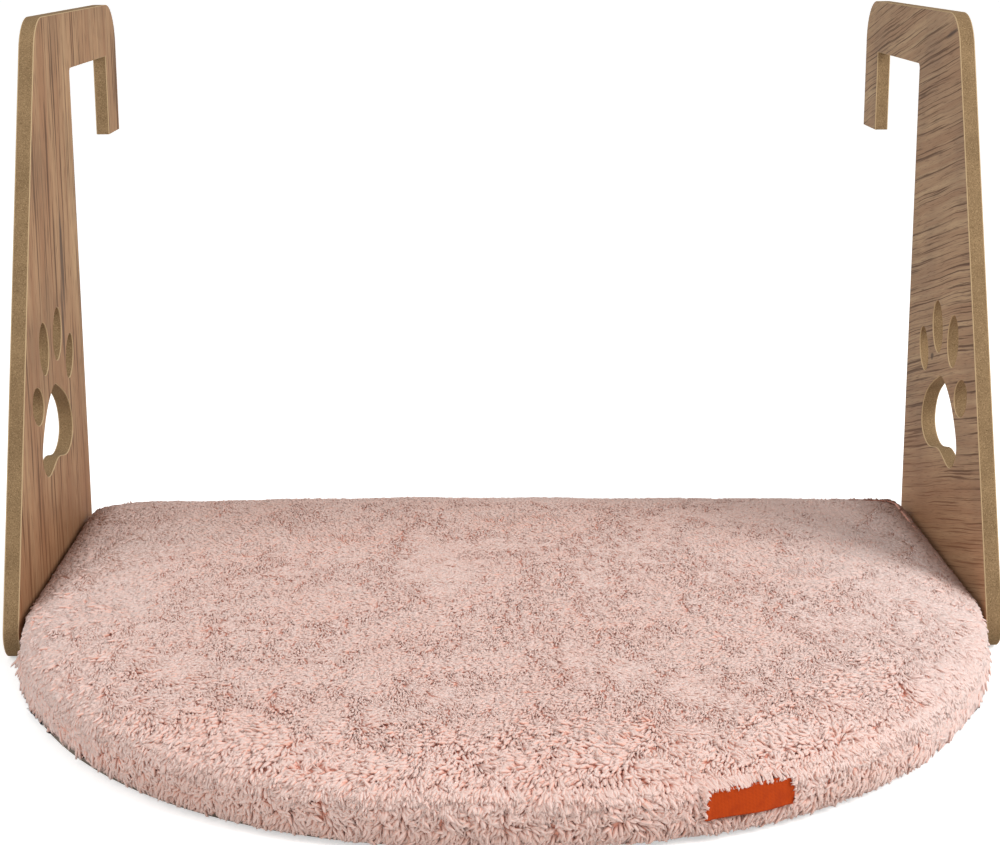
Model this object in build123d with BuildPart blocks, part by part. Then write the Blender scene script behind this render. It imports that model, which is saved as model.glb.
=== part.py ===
from build123d import *
import math
import os

# Radiator-hung pet bed: two hooked side brackets carry a D-shaped deck,
# and a zipped plush cushion lies on the deck on hook-and-loop strips.
# The cushion's plush edge hangs over the front of the deck and hides it.
# Millimetres. X runs left to right, Y from the front to the radiator, Z up.
# The origin is on the deck's underside, midway between the brackets and
# halfway along the deck's depth.

# Deck board
deck_width = 500.0  # between the inner faces of the brackets
deck_depth = 384.0
deck_thickness = 12.0
deck_front_flat = 30.0  # straight middle of the front edge, between the two large corners
deck_back_radius = 2.0

# Side brackets, cut from one laminated board
bracket_thickness = 8.4
bracket_height = 325.0
bracket_foot_reach = 44.0  # in front of where the deck's side begins to curve
bracket_head_depth = 79.0  # the sloping front edge at full height, before the radiator's face
hook_gap = 110.0  # a two-panel radiator is 100 to 105 deep
hook_leg_depth = 34.0
hook_leg_drop = 50.5  # below the notch's roof
hook_beam_height = 32.5  # wood above the notch
head_front_radius = 24.0
head_back_radius = 26.0
foot_front_radius = 14.0
notch_radius = 3.0
bracket_arris = 0.3  # the sanded edge of the cut board

# Paw cut through each bracket: one pad and four toes
pad_rise = 98.0  # middle of the pad above the bracket's foot
# Place of the pad's middle from the back edge, and its width, as shares of the board's depth there
pad_place_share = 0.4855
pad_width_share = 0.479
# Height of the pad, and length and breadth of a toe, as shares of the pad's width
pad_height_share = 0.605
toe_length_share = 0.395
toe_breadth_share = 0.29
# Outline of the pad from its middle, as shares of its width and height
pad_outline_shares = (
    (0.03, 0.50), (0.30, 0.27), (0.48, -0.06), (0.49, -0.30), (0.28, -0.49),
    (-0.02, -0.41), (-0.36, -0.49), (-0.50, -0.24), (-0.43, 0.06), (-0.20, 0.41),
)
# Each toe: across and up from the middle of the pad, and its size, as shares
toe_place_shares = ((-0.283, 1.054, 1.0), (0.145, 1.087, 1.0), (0.513, 0.674, 0.88), (-0.546, 0.457, 0.9))
toe_tilts = (10, -14, -28, 60)  # degrees, positive leans the top of the toe forwards

# Fasteners that hold the deck between the brackets
bolt_diameter = 5.0
bolt_hole_diameter = 5.5
bolt_head_diameter = 11.0
bolt_head_thickness = 1.8
bolt_socket_width = 3.0  # hexagon, across the flats
bolt_socket_depth = 1.2
bolt_setback = 35.0  # from the back edge to the rear bolt
bolt_front_margin = 14.0  # from the front bolt to where the deck's side begins to curve
nut_inset = 25.0  # from the deck's side to the axis of the barrel nut
nut_diameter = 8.0
nut_length = 10.0
nut_slot_width = 1.2
nut_slot_depth = 1.0
bolt_overreach = 7.0  # bolt past the axis of its nut
dowel_diameter = 6.0
dowel_spacing_share = 0.5  # of the bolts' spacing
dowel_in_bracket = 6.0
dowel_in_deck = 14.0
dowel_end_gap = 0.5
drill_clearance = 0.1  # radial, round nuts and dowels
thread_clearance = 0.05  # radial, threads are drawn plain

# Cushion
cushion_overhang = 11.0  # in front of the deck
cushion_height = 30.8  # from the hem to the crown
cushion_front_flat = 35.0
cushion_back_radius = 16.0
cushion_side_gap = 0.5  # to each bracket
cushion_back_gap = 3.0  # before the radiator's face
hem_rise = 4.5  # front hem above the deck's underside
deck_clearance = 0.5  # hem to the deck's edge
seat_gap = 0.3  # cushion above the deck
plush_side_thickness = 10.0  # backing cloth and pile on the sides
plush_top_thickness = 7.0  # the same on top, where the pile is pressed
roll_depth = 14.0  # how far the rounded edge reaches in from the side
crown_corner_share = 0.25  # back corners grow rounder by this share of the inset
# Rings of the cushion's edge and crown: height share, inset as shares of the roll and of the crown
ring_shares = (
    (0.0, 0.23, 0.0), (0.075, 0.10, 0.0), (0.18, 0.03, 0.0), (0.33, 0.0, 0.0),
    (0.48, 0.0, 0.0), (0.615, 0.04, 0.0), (0.735, 0.19, 0.0), (0.825, 0.46, 0.0),
    (0.89, 1.0, 0.0), (0.95, 1.0, 0.152), (0.985, 1.0, 0.398), (1.0, 1.0, 0.6555),
)
foam_clearance = 0.4  # foam to plush
panel_thickness = 1.5  # underside cloth with its stiffener
panel_edge_gap = 0.3
panel_foam_gap = 0.2

# Hook-and-loop strips between deck and cushion
strip_length = 120.0
strip_width = 20.0
strip_thickness = 1.1
strip_spacing = 150.0
strip_count = 3
strip_gap = 0.1

# Sewn label, left blank
label_width = 42.0
label_height = 13.0
label_thickness = 0.8
label_gap = 0.3
label_bearing = 20.0  # degrees round the front right corner from straight ahead
label_rise = 14.5  # middle of the label above the hem

# Zip in the back edge
zip_rise = 6.0  # centre line above the cushion's seat on the deck
zip_slot_height = 9.0
zip_side_margin = 21.5  # from the cushion's side to the slot
zip_end_room = 28.0  # for the pull, past the slider's last place
zip_floor_depth = 4.6  # inner face of the tapes below the cushion's back
tape_thickness = 0.8
tape_fit = 0.2  # tape edges to the slot
tape_split = 0.6  # between the two tapes
coil_height = 3.0
coil_thickness = 1.6
stop_length = 2.0
stop_overhang = 0.4  # past the coil, above and below
stop_clearance = 0.3
slider_length = 9.0
slider_height = 7.0
slider_thickness = 2.3
slider_clearance = 0.3
slider_corner_radius = 1.2
bridge_bar_radius = 0.5
bridge_post_length = 1.2
bridge_post_height = 0.9
pull_length = 22.0  # from the bar
pull_neck_length = 3.2
pull_height = 5.6
pull_thickness = 0.8
pull_eye_height = 2.8
pull_eye_wall = 0.7
pull_clearance = 0.3
pull_corner_radius = 1.6
pull_hole_radius = 1.1

overrun = 5.0  # how far cutting tools run past the solid

# Places that follow from these sizes
back_y = deck_depth / 2  # the radiator's face
deck_front_y = -deck_depth / 2
side_x = deck_width / 2
deck_corner_radius = side_x - deck_front_flat / 2
deck_side_length = deck_depth - deck_corner_radius  # straight part of each side
bolt_z = deck_thickness / 2
bolt_spacing = deck_side_length - bolt_setback - bolt_front_margin
bolt_mid_y = back_y - bolt_setback - bolt_spacing / 2
dowel_spacing = bolt_spacing * dowel_spacing_share
bracket_foot_depth = deck_side_length + bracket_foot_reach  # front to back at the bottom
bracket_slope = (bracket_foot_depth - bracket_head_depth) / bracket_height
board_depth_at_pad = bracket_foot_depth - bracket_slope * pad_rise
pad_setback = board_depth_at_pad * pad_place_share
pad_width = board_depth_at_pad * pad_width_share
pad_height = pad_width * pad_height_share
toe_length = pad_width * toe_length_share
toe_breadth = pad_width * toe_breadth_share
notch_z = bracket_height - hook_beam_height
leg_bottom_z = notch_z - hook_leg_drop
hook_back_y = back_y + hook_gap + hook_leg_depth

seat_z = deck_thickness + seat_gap
cushion_half_width = side_x - cushion_side_gap
cushion_back_y = back_y - cushion_back_gap
cushion_front_y = deck_front_y - cushion_overhang
cushion_corner_radius = cushion_half_width - cushion_front_flat / 2
cushion_side_length = cushion_back_y - cushion_front_y - cushion_corner_radius
crown_room = cushion_side_length - cushion_back_radius - plush_side_thickness - foam_clearance - roll_depth
loop_z = deck_thickness + strip_thickness + strip_gap
panel_z = loop_z + strip_thickness
foam_z = panel_z + panel_thickness + panel_foam_gap

zip_slot_length = 2 * (cushion_half_width - zip_side_margin)
zip_travel = zip_slot_length - 2 * zip_end_room
zip_z = seat_z + zip_rise
tape_y = cushion_back_y - zip_floor_depth
coil_y = tape_y + tape_thickness
slider_y = coil_y + slider_clearance
slider_top_y = slider_y + slider_thickness
slider_x = zip_travel / 2
eye_radius = bridge_bar_radius + pull_clearance + pull_eye_wall
bar_y = slider_top_y + pull_clearance + eye_radius


def bed_edge(inset, half_width, back, front, corner_radius, back_radius):
    """A rectangle moved in by inset, with large round front corners and small back ones."""
    half = half_width - inset
    front_radius = corner_radius - inset
    rear_radius = back_radius + inset * crown_corner_share
    low = front + inset
    high = back - inset
    with BuildLine() as edge:
        Line((-half + front_radius, low), (half - front_radius, low))
        CenterArc((half - front_radius, low + front_radius), front_radius, -90, 90)
        Line((half, low + front_radius), (half, high - rear_radius))
        CenterArc((half - rear_radius, high - rear_radius), rear_radius, 0, 90)
        Line((half - rear_radius, high), (-half + rear_radius, high))
        CenterArc((-half + rear_radius, high - rear_radius), rear_radius, 90, 90)
        Line((-half, high - rear_radius), (-half, low + front_radius))
        CenterArc((-half + front_radius, low + front_radius), front_radius, 180, 90)
    return edge.edges()


def cushion_edge(inset):
    """The cushion's outline, moved in by inset from its widest level."""
    return bed_edge(
        inset, cushion_half_width, cushion_back_y, cushion_front_y, cushion_corner_radius, cushion_back_radius
    )


def cushion_rings(side_skin, top_skin):
    """The level and the outline of each ring, inside the cushion's surface by the two skins."""
    for height_share, roll_share, crown_share in ring_shares:
        height = hem_rise + (cushion_height - top_skin) * height_share
        yield height, cushion_edge(roll_share * roll_depth + crown_share * crown_room + side_skin)


# Right bracket: sloping front, square back, a hook at the top and the paw cut through
with BuildPart() as bracket_right:
    with BuildSketch(Plane.YZ.offset(side_x)):
        with BuildLine():
            FilletPolyline(
                (back_y, 0),
                (back_y - bracket_foot_depth, 0),
                (back_y - bracket_head_depth, bracket_height),
                (hook_back_y, bracket_height),
                (hook_back_y, leg_bottom_z),
                (back_y + hook_gap, leg_bottom_z),
                (back_y + hook_gap, notch_z),
                (back_y, notch_z),
                radius=(0, foot_front_radius, head_front_radius, head_back_radius, 0, 0, 0, notch_radius),
                close=True,
            )
        make_face()
        with BuildLine():
            Spline(
                [
                    (back_y - pad_setback + pad_width * across, pad_rise + pad_height * up)
                    for across, up in pad_outline_shares
                ],
                periodic=True,
            )
        make_face(mode=Mode.SUBTRACT)
        for (across, up, size), tilt in zip(toe_place_shares, toe_tilts):
            with Locations((back_y - pad_setback + pad_width * across, pad_rise + pad_height * up)):
                Ellipse(toe_breadth * size / 2, toe_length * size / 2, rotation=tilt, mode=Mode.SUBTRACT)
    extrude(amount=bracket_thickness)
    cut_faces = bracket_right.faces().filter_by(Axis.X)
    chamfer(cut_faces.edges(), bracket_arris)
    # Bolt holes go through, dowel holes stop inside the board
    with Locations(Plane.YZ.offset(side_x)):
        with Locations((bolt_mid_y, bolt_z)):
            with GridLocations(bolt_spacing, 0, 2, 1):
                Cylinder(
                    bolt_hole_diameter / 2, bracket_thickness + overrun,
                    align=(Align.CENTER, Align.CENTER, Align.MIN), mode=Mode.SUBTRACT,
                )
            with GridLocations(dowel_spacing, 0, 2, 1):
                Cylinder(
                    dowel_diameter / 2 + drill_clearance, dowel_in_bracket + dowel_end_gap,
                    align=(Align.CENTER, Align.CENTER, Align.MIN), mode=Mode.SUBTRACT,
                )

# Left bracket: the right one's mirror image
with BuildPart() as bracket_left:
    mirror(bracket_right.part, about=Plane.YZ)

# Deck: a flat board bored in its sides for bolts and dowels, and from below for the nuts
with BuildPart() as deck_board:
    with BuildSketch():
        make_face(bed_edge(0, side_x, back_y, deck_front_y, deck_corner_radius, deck_back_radius))
    extrude(amount=deck_thickness)
    for side in (-1, 1):
        inwards = Plane(origin=(side * side_x, bolt_mid_y, bolt_z), x_dir=(0, 1, 0), z_dir=(-side, 0, 0))
        with Locations(inwards):
            with GridLocations(bolt_spacing, 0, 2, 1):
                Cylinder(
                    bolt_hole_diameter / 2, nut_inset + bolt_overreach + dowel_end_gap,
                    align=(Align.CENTER, Align.CENTER, Align.MIN), mode=Mode.SUBTRACT,
                )
            with GridLocations(dowel_spacing, 0, 2, 1):
                Cylinder(
                    dowel_diameter / 2 + drill_clearance, dowel_in_deck + dowel_end_gap,
                    align=(Align.CENTER, Align.CENTER, Align.MIN), mode=Mode.SUBTRACT,
                )
        with Locations((side * (side_x - nut_inset), bolt_mid_y)):
            with GridLocations(0, bolt_spacing, 1, 2):
                Cylinder(
                    nut_diameter / 2 + drill_clearance, bolt_z + nut_length / 2 + drill_clearance,
                    align=(Align.CENTER, Align.CENTER, Align.MIN), mode=Mode.SUBTRACT,
                )

# Connector bolts: flat heads outside the brackets, threads drawn plain
with BuildPart() as connector_bolts:
    for side in (-1, 1):
        head_seat = Plane(
            origin=(side * (side_x + bracket_thickness), bolt_mid_y, bolt_z), x_dir=(0, 1, 0), z_dir=(side, 0, 0)
        )
        with Locations(head_seat):
            with GridLocations(bolt_spacing, 0, 2, 1):
                Cylinder(
                    bolt_diameter / 2, bracket_thickness + nut_inset + bolt_overreach,
                    align=(Align.CENTER, Align.CENTER, Align.MAX),
                )
                Cylinder(
                    bolt_head_diameter / 2, bolt_head_thickness, align=(Align.CENTER, Align.CENTER, Align.MIN)
                )
        with BuildSketch(head_seat.offset(bolt_head_thickness)):
            with GridLocations(bolt_spacing, 0, 2, 1):
                RegularPolygon(bolt_socket_width / 2, 6, major_radius=False)
        extrude(amount=-bolt_socket_depth, mode=Mode.SUBTRACT)

# Barrel nuts: upright in the deck, cross-drilled for the bolts, slotted below for a screwdriver
with BuildPart() as barrel_nuts:
    with Locations((0, bolt_mid_y, bolt_z)):
        with GridLocations(2 * (side_x - nut_inset), bolt_spacing, 2, 2):
            Cylinder(nut_diameter / 2, nut_length)
            Cylinder(
                bolt_diameter / 2 + thread_clearance, nut_diameter + overrun,
                rotation=(0, 90, 0), mode=Mode.SUBTRACT,
            )
            with Locations((0, 0, -nut_length / 2)):
                Box(
                    nut_diameter + overrun, nut_slot_width, nut_slot_depth,
                    align=(Align.CENTER, Align.CENTER, Align.MIN), mode=Mode.SUBTRACT,
                )

# Wooden dowels stop the deck from turning on its bolts
with BuildPart() as locating_dowels:
    for side in (-1, 1):
        dowel_seat = Plane(
            origin=(side * (side_x + dowel_in_bracket), bolt_mid_y, bolt_z), x_dir=(0, 1, 0), z_dir=(-side, 0, 0)
        )
        with Locations(dowel_seat):
            with GridLocations(dowel_spacing, 0, 2, 1):
                Cylinder(
                    dowel_diameter / 2, dowel_in_bracket + dowel_in_deck,
                    align=(Align.CENTER, Align.CENTER, Align.MIN),
                )

# Hook strips on the deck, and their loop strips under the cushion
with BuildPart() as hook_strips:
    with BuildSketch(Plane.XY.offset(deck_thickness)):
        with GridLocations(strip_spacing, 0, strip_count, 1):
            Rectangle(strip_width, strip_length)
    extrude(amount=strip_thickness)

with BuildPart() as loop_strips:
    with BuildSketch(Plane.XY.offset(loop_z)):
        with GridLocations(strip_spacing, 0, strip_count, 1):
            Rectangle(strip_width, strip_length)
    extrude(amount=strip_thickness)

# Underside cloth of the cushion, sewn inside the plush's lower edge
with BuildPart() as underside_panel:
    with BuildSketch(Plane.XY.offset(panel_z)):
        make_face(cushion_edge(plush_side_thickness + panel_edge_gap))
    extrude(amount=panel_thickness)

# Foam pad: crowned and round-edged, flat below where it lies on the underside cloth
with BuildPart() as foam_pad:
    for height, outline in cushion_rings(plush_side_thickness + foam_clearance, plush_top_thickness + foam_clearance):
        with BuildSketch(Plane.XY.offset(height)):
            make_face(outline)
    loft(ruled=True)
    split(bisect_by=Plane.XY.offset(foam_z), keep=Keep.TOP)

# Plush cover: crowned top, round sides drawn in at the hem, open below over the deck, slotted for the zip
with BuildPart() as plush_cover:
    for height, outline in cushion_rings(0, 0):
        with BuildSketch(Plane.XY.offset(height)):
            make_face(outline)
    loft(ruled=True)
    for height, outline in cushion_rings(plush_side_thickness, plush_top_thickness):
        with BuildSketch(Plane.XY.offset(height)):
            make_face(outline)
    loft(ruled=True, mode=Mode.SUBTRACT)
    with BuildSketch():
        make_face(bed_edge(-deck_clearance, side_x, back_y, deck_front_y, deck_corner_radius, deck_back_radius))
    extrude(amount=seat_z, mode=Mode.SUBTRACT)
    with Locations((0, cushion_back_y, zip_z)):
        Box(zip_slot_length, 2 * (plush_side_thickness + foam_clearance / 2), zip_slot_height, mode=Mode.SUBTRACT)

# Blank label, following the front right corner
with BuildPart() as cover_label:
    label_x = cushion_half_width - cushion_corner_radius
    label_y = cushion_front_y + cushion_corner_radius
    label_inner = cushion_corner_radius + label_gap
    label_outer = label_inner + label_thickness
    label_turn = math.degrees(label_width / label_inner)
    label_start = label_bearing - 90 - label_turn / 2
    with BuildSketch(Plane.XY.offset(hem_rise + label_rise - label_height / 2)):
        with BuildLine():
            inner_arc = CenterArc((label_x, label_y), label_inner, label_start, label_turn)
            outer_arc = CenterArc((label_x, label_y), label_outer, label_start, label_turn)
            Line(inner_arc @ 0, outer_arc @ 0)
            Line(inner_arc @ 1, outer_arc @ 1)
        make_face()
    extrude(amount=label_height)

# Zip: two tapes in the slot, the closed coil on them and a stop at each end
with BuildPart() as zip_tapes:
    tape_height = zip_slot_height / 2 - tape_fit - tape_split / 2
    for side in (-1, 1):
        with Locations((0, tape_y, zip_z + side * (tape_split + tape_height) / 2)):
            Box(
                zip_slot_length - 2 * tape_fit, tape_thickness, tape_height,
                align=(Align.CENTER, Align.MIN, Align.CENTER),
            )

with BuildPart() as zip_coil:
    with Locations((0, coil_y, zip_z)):
        Box(
            zip_travel + slider_length, coil_thickness, coil_height,
            align=(Align.CENTER, Align.MIN, Align.CENTER),
        )

with BuildPart() as zip_stops:
    with Locations((0, coil_y, zip_z)):
        with GridLocations(zip_travel + slider_length + 2 * stop_clearance + stop_length, 0, 2, 1):
            Box(
                stop_length, coil_thickness, coil_height + 2 * stop_overhang,
                align=(Align.CENTER, Align.MIN, Align.CENTER),
            )

# Slider: a plate with a channel over the coil, and a bridge that holds the pull
with BuildPart() as zip_slider:
    with BuildSketch(Plane.XZ.offset(-slider_y)):
        with Locations((slider_x, zip_z)):
            RectangleRounded(slider_length, slider_height, slider_corner_radius)
    extrude(amount=-slider_thickness)
    with Locations((slider_x, slider_y, zip_z)):
        Box(
            slider_length + overrun, 2 * coil_thickness, coil_height + 2 * slider_clearance,
            mode=Mode.SUBTRACT,
        )
    post_gap = pull_eye_height + 2 * pull_clearance
    with Locations((slider_x, slider_top_y, zip_z)):
        with Locations((0, 0, -(post_gap + bridge_post_height) / 2), (0, 0, (post_gap + bridge_post_height) / 2)):
            Box(
                bridge_post_length, bar_y + bridge_bar_radius - slider_top_y, bridge_post_height,
                align=(Align.CENTER, Align.MIN, Align.CENTER),
            )
    with Locations((slider_x, bar_y, zip_z)):
        Cylinder(bridge_bar_radius, post_gap + bridge_post_height)

# Pull: an eye round the bridge's bar, a neck between its posts and a flat tab with a hole
with BuildPart() as zip_pull:
    tab_length = pull_length - pull_neck_length
    tab_x = slider_x - pull_neck_length - tab_length / 2
    with BuildSketch(Plane.XZ.offset(-bar_y)):
        with Locations((tab_x, zip_z)):
            RectangleRounded(tab_length, pull_height, pull_corner_radius)
        with Locations((slider_x, zip_z)):
            Rectangle(pull_neck_length + pull_corner_radius, pull_eye_height, align=(Align.MAX, Align.CENTER))
        with Locations((tab_x - tab_length / 2 + pull_height / 2, zip_z)):
            Circle(pull_hole_radius, mode=Mode.SUBTRACT)
    extrude(amount=pull_thickness / 2, both=True)
    with Locations((slider_x, bar_y, zip_z)):
        Cylinder(eye_radius, pull_eye_height)
        Cylinder(bridge_bar_radius + pull_clearance, pull_eye_height, mode=Mode.SUBTRACT)

# One file for each piece
pieces = {
    "bracket_left": bracket_left,
    "bracket_right": bracket_right,
    "deck_board": deck_board,
    "connector_bolts": connector_bolts,
    "barrel_nuts": barrel_nuts,
    "locating_dowels": locating_dowels,
    "hook_strips": hook_strips,
    "loop_strips": loop_strips,
    "underside_panel": underside_panel,
    "foam_pad": foam_pad,
    "plush_cover": plush_cover,
    "cover_label": cover_label,
    "zip_tapes": zip_tapes,
    "zip_coil": zip_coil,
    "zip_stops": zip_stops,
    "zip_slider": zip_slider,
    "zip_pull": zip_pull,
}
os.makedirs("parts", exist_ok=True)
for label, piece in pieces.items():
    piece.part.label = label
    export_step(piece.part, f"parts/{label}.step")
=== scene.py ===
import bpy
import numpy as np
from mathutils import Matrix, Vector


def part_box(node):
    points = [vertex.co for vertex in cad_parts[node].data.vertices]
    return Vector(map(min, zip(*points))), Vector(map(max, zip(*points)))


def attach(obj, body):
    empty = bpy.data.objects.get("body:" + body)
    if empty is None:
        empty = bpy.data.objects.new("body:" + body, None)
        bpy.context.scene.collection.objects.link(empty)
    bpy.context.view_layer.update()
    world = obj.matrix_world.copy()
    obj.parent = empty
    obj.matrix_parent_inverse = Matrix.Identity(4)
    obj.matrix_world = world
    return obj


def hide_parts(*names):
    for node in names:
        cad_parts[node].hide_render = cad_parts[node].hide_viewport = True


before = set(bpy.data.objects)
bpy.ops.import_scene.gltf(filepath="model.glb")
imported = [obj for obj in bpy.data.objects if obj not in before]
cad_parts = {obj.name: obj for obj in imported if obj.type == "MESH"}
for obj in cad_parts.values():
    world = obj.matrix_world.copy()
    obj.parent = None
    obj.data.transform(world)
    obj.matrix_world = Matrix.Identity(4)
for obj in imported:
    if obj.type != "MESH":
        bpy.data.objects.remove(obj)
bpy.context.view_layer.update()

mm = 0.001

# %% [markdown]
# ## Where the camera stands
#
# The picture was taken from in front and a little above, and then cropped, so the lens looks at a point
# above the middle of the frame. A camera that only tilts down would pull the upright boards together.
# Keeping its tilt small and sliding the frame down with the lens shift keeps the boards as upright as
# they are in the picture.
# %% Camera
image_width, image_height = 1000, 845
focal_pixels = 1800.0
optical_row = 304.67
eye = Vector((-18.54, -872.66, 366.08)) * mm
yaw, pitch, roll = np.radians((1.084, 11.508, -0.239))

forward = Vector((np.sin(yaw) * np.cos(pitch), np.cos(yaw) * np.cos(pitch), -np.sin(pitch)))
level = Vector((np.cos(yaw), -np.sin(yaw), 0.0))
upright = level.cross(forward)
right = np.cos(roll) * level + np.sin(roll) * upright
up = np.cos(roll) * upright - np.sin(roll) * level

camera_data = bpy.data.cameras.new("camera")
camera_data.sensor_width = 36.0
camera_data.lens = camera_data.sensor_width * focal_pixels / image_width
camera_data.shift_y = (optical_row - image_height / 2) / image_width
camera_data.clip_start = 0.01
camera = bpy.data.objects.new("camera", camera_data)
camera.matrix_world = Matrix.Translation(eye) @ Matrix((right, up, -forward)).transposed().to_4x4()
bpy.context.collection.objects.link(camera)
bpy.context.scene.camera = camera
print("lens", round(camera_data.lens, 1), "mm, shift", round(camera_data.shift_y, 3))

# %% [markdown]
# ## Small helpers for materials
#
# A finish is a small network of shader nodes. Written out in full, each node takes three or four lines,
# which hides the recipe. One helper that adds a node and plugs in its values keeps each finish short
# enough to read at once. Most finishes are a ground colour with tints laid over it where some noise is
# high or low, so that has a helper too.
# %% Material helpers


def srgb(red, green, blue):
    """A colour as read off a screen, from 0 to 255, turned into the linear light that shaders add up."""
    value = np.array((red, green, blue)) / 255
    linear = np.where(value <= 0.04045, value / 12.92, ((value + 0.055) / 1.055) ** 2.4)
    return (*linear.tolist(), 1.0)


def node(tree, kind, values=None, **settings):
    """Adds a shader node. values gives its inputs plain values or other nodes' outputs, by name or
    number."""
    made = tree.nodes.new("ShaderNode" + kind)
    for name, setting in settings.items():
        setattr(made, name, setting)
    for name, value in (values or {}).items():
        if isinstance(value, bpy.types.NodeSocket):
            tree.links.new(value, made.inputs[name])
        else:
            made.inputs[name].default_value = value
    return made


def maths(tree, operation, *values):
    """The result of one sum on numbers or sockets."""
    return node(tree, "Math", dict(enumerate(values)), operation=operation).outputs[0]


def mixed(tree, share, first, second):
    """Two colours mixed by a share."""
    values = {0: share, 6: first, 7: second}
    return node(tree, "Mix", values, data_type="RGBA").outputs[2]


def between(tree, value, low, high, to_low=0.0, to_high=1.0):
    """value stretched so that low to high becomes to_low to to_high, and held there outside it."""
    values = {"Value": value, "From Min": low, "From Max": high, "To Min": to_low, "To Max": to_high}
    return node(tree, "MapRange", values).outputs[0]


def laid_over(tree, colour, tint, value, low, high, most=1.0):
    """A tint laid over a colour, by a share that goes from 0 to most while value goes from low to
    high."""
    return mixed(tree, between(tree, value, low, high, 0.0, most), colour, srgb(*tint))


def noise(tree, place, scale, detail=2.0, roughness=0.5):
    """Cloudy noise from 0 to 1, with scale clouds to the metre."""
    values = {"Vector": place, "Scale": scale, "Detail": detail, "Roughness": roughness}
    return node(tree, "TexNoise", values).outputs[0]


def stretched(tree, place, scale):
    """Coordinates scaled along each axis."""
    return node(tree, "Mapping", {"Vector": place, "Scale": scale}).outputs[0]


def start_material(name):
    """An empty material with its shader and output, its node tree and the object coordinates in it."""
    material = bpy.data.materials.new(name)
    material.use_nodes = True
    tree = material.node_tree
    tree.nodes.clear()
    shader = node(tree, "BsdfPrincipled")
    node(tree, "OutputMaterial", {"Surface": shader.outputs[0]})
    place = node(tree, "TexCoord").outputs["Object"]
    return material, tree, shader, place


def finish_shader(tree, shader, colour, roughness, height=None, bump=0.3, depth=0.5 * mm, **plain):
    """Plugs colour, roughness and a bump into a shader. plain sets numbers that are the same all over."""
    tree.links.new(colour, shader.inputs["Base Color"])
    if isinstance(roughness, bpy.types.NodeSocket):
        tree.links.new(roughness, shader.inputs["Roughness"])
    else:
        shader.inputs["Roughness"].default_value = roughness
    if height is not None:
        bumped = node(tree, "Bump", {"Strength": bump, "Distance": depth, "Height": height})
        tree.links.new(bumped.outputs[0], shader.inputs["Normal"])
    for name, value in plain.items():
        shader.inputs[name.replace("_", " ")].default_value = value


# %% [markdown]
# ## The boards
#
# Each bracket is sawn from fibreboard with a printed wood-grain foil on both faces. The foil stops at
# the cut, so the front edge and the walls of the paw show raw fibreboard. One material can hold both,
# because a face is known by its distance from the middle of the bed: the foil is only where x is that
# of a face. The grain is noise stretched far along the fibre. On the left board it runs upright. On the
# right one it slants up towards the front, a little more steeply near the foot, so there the height is
# sheared by an amount that changes with height. Each board also has a few dark marks of its own, such
# as a small knot.
# %% Laminated board

inner_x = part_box("bracket_right")[0][0]
outer_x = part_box("bracket_right")[1][0]
foil_thickness = 0.55 * mm


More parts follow.
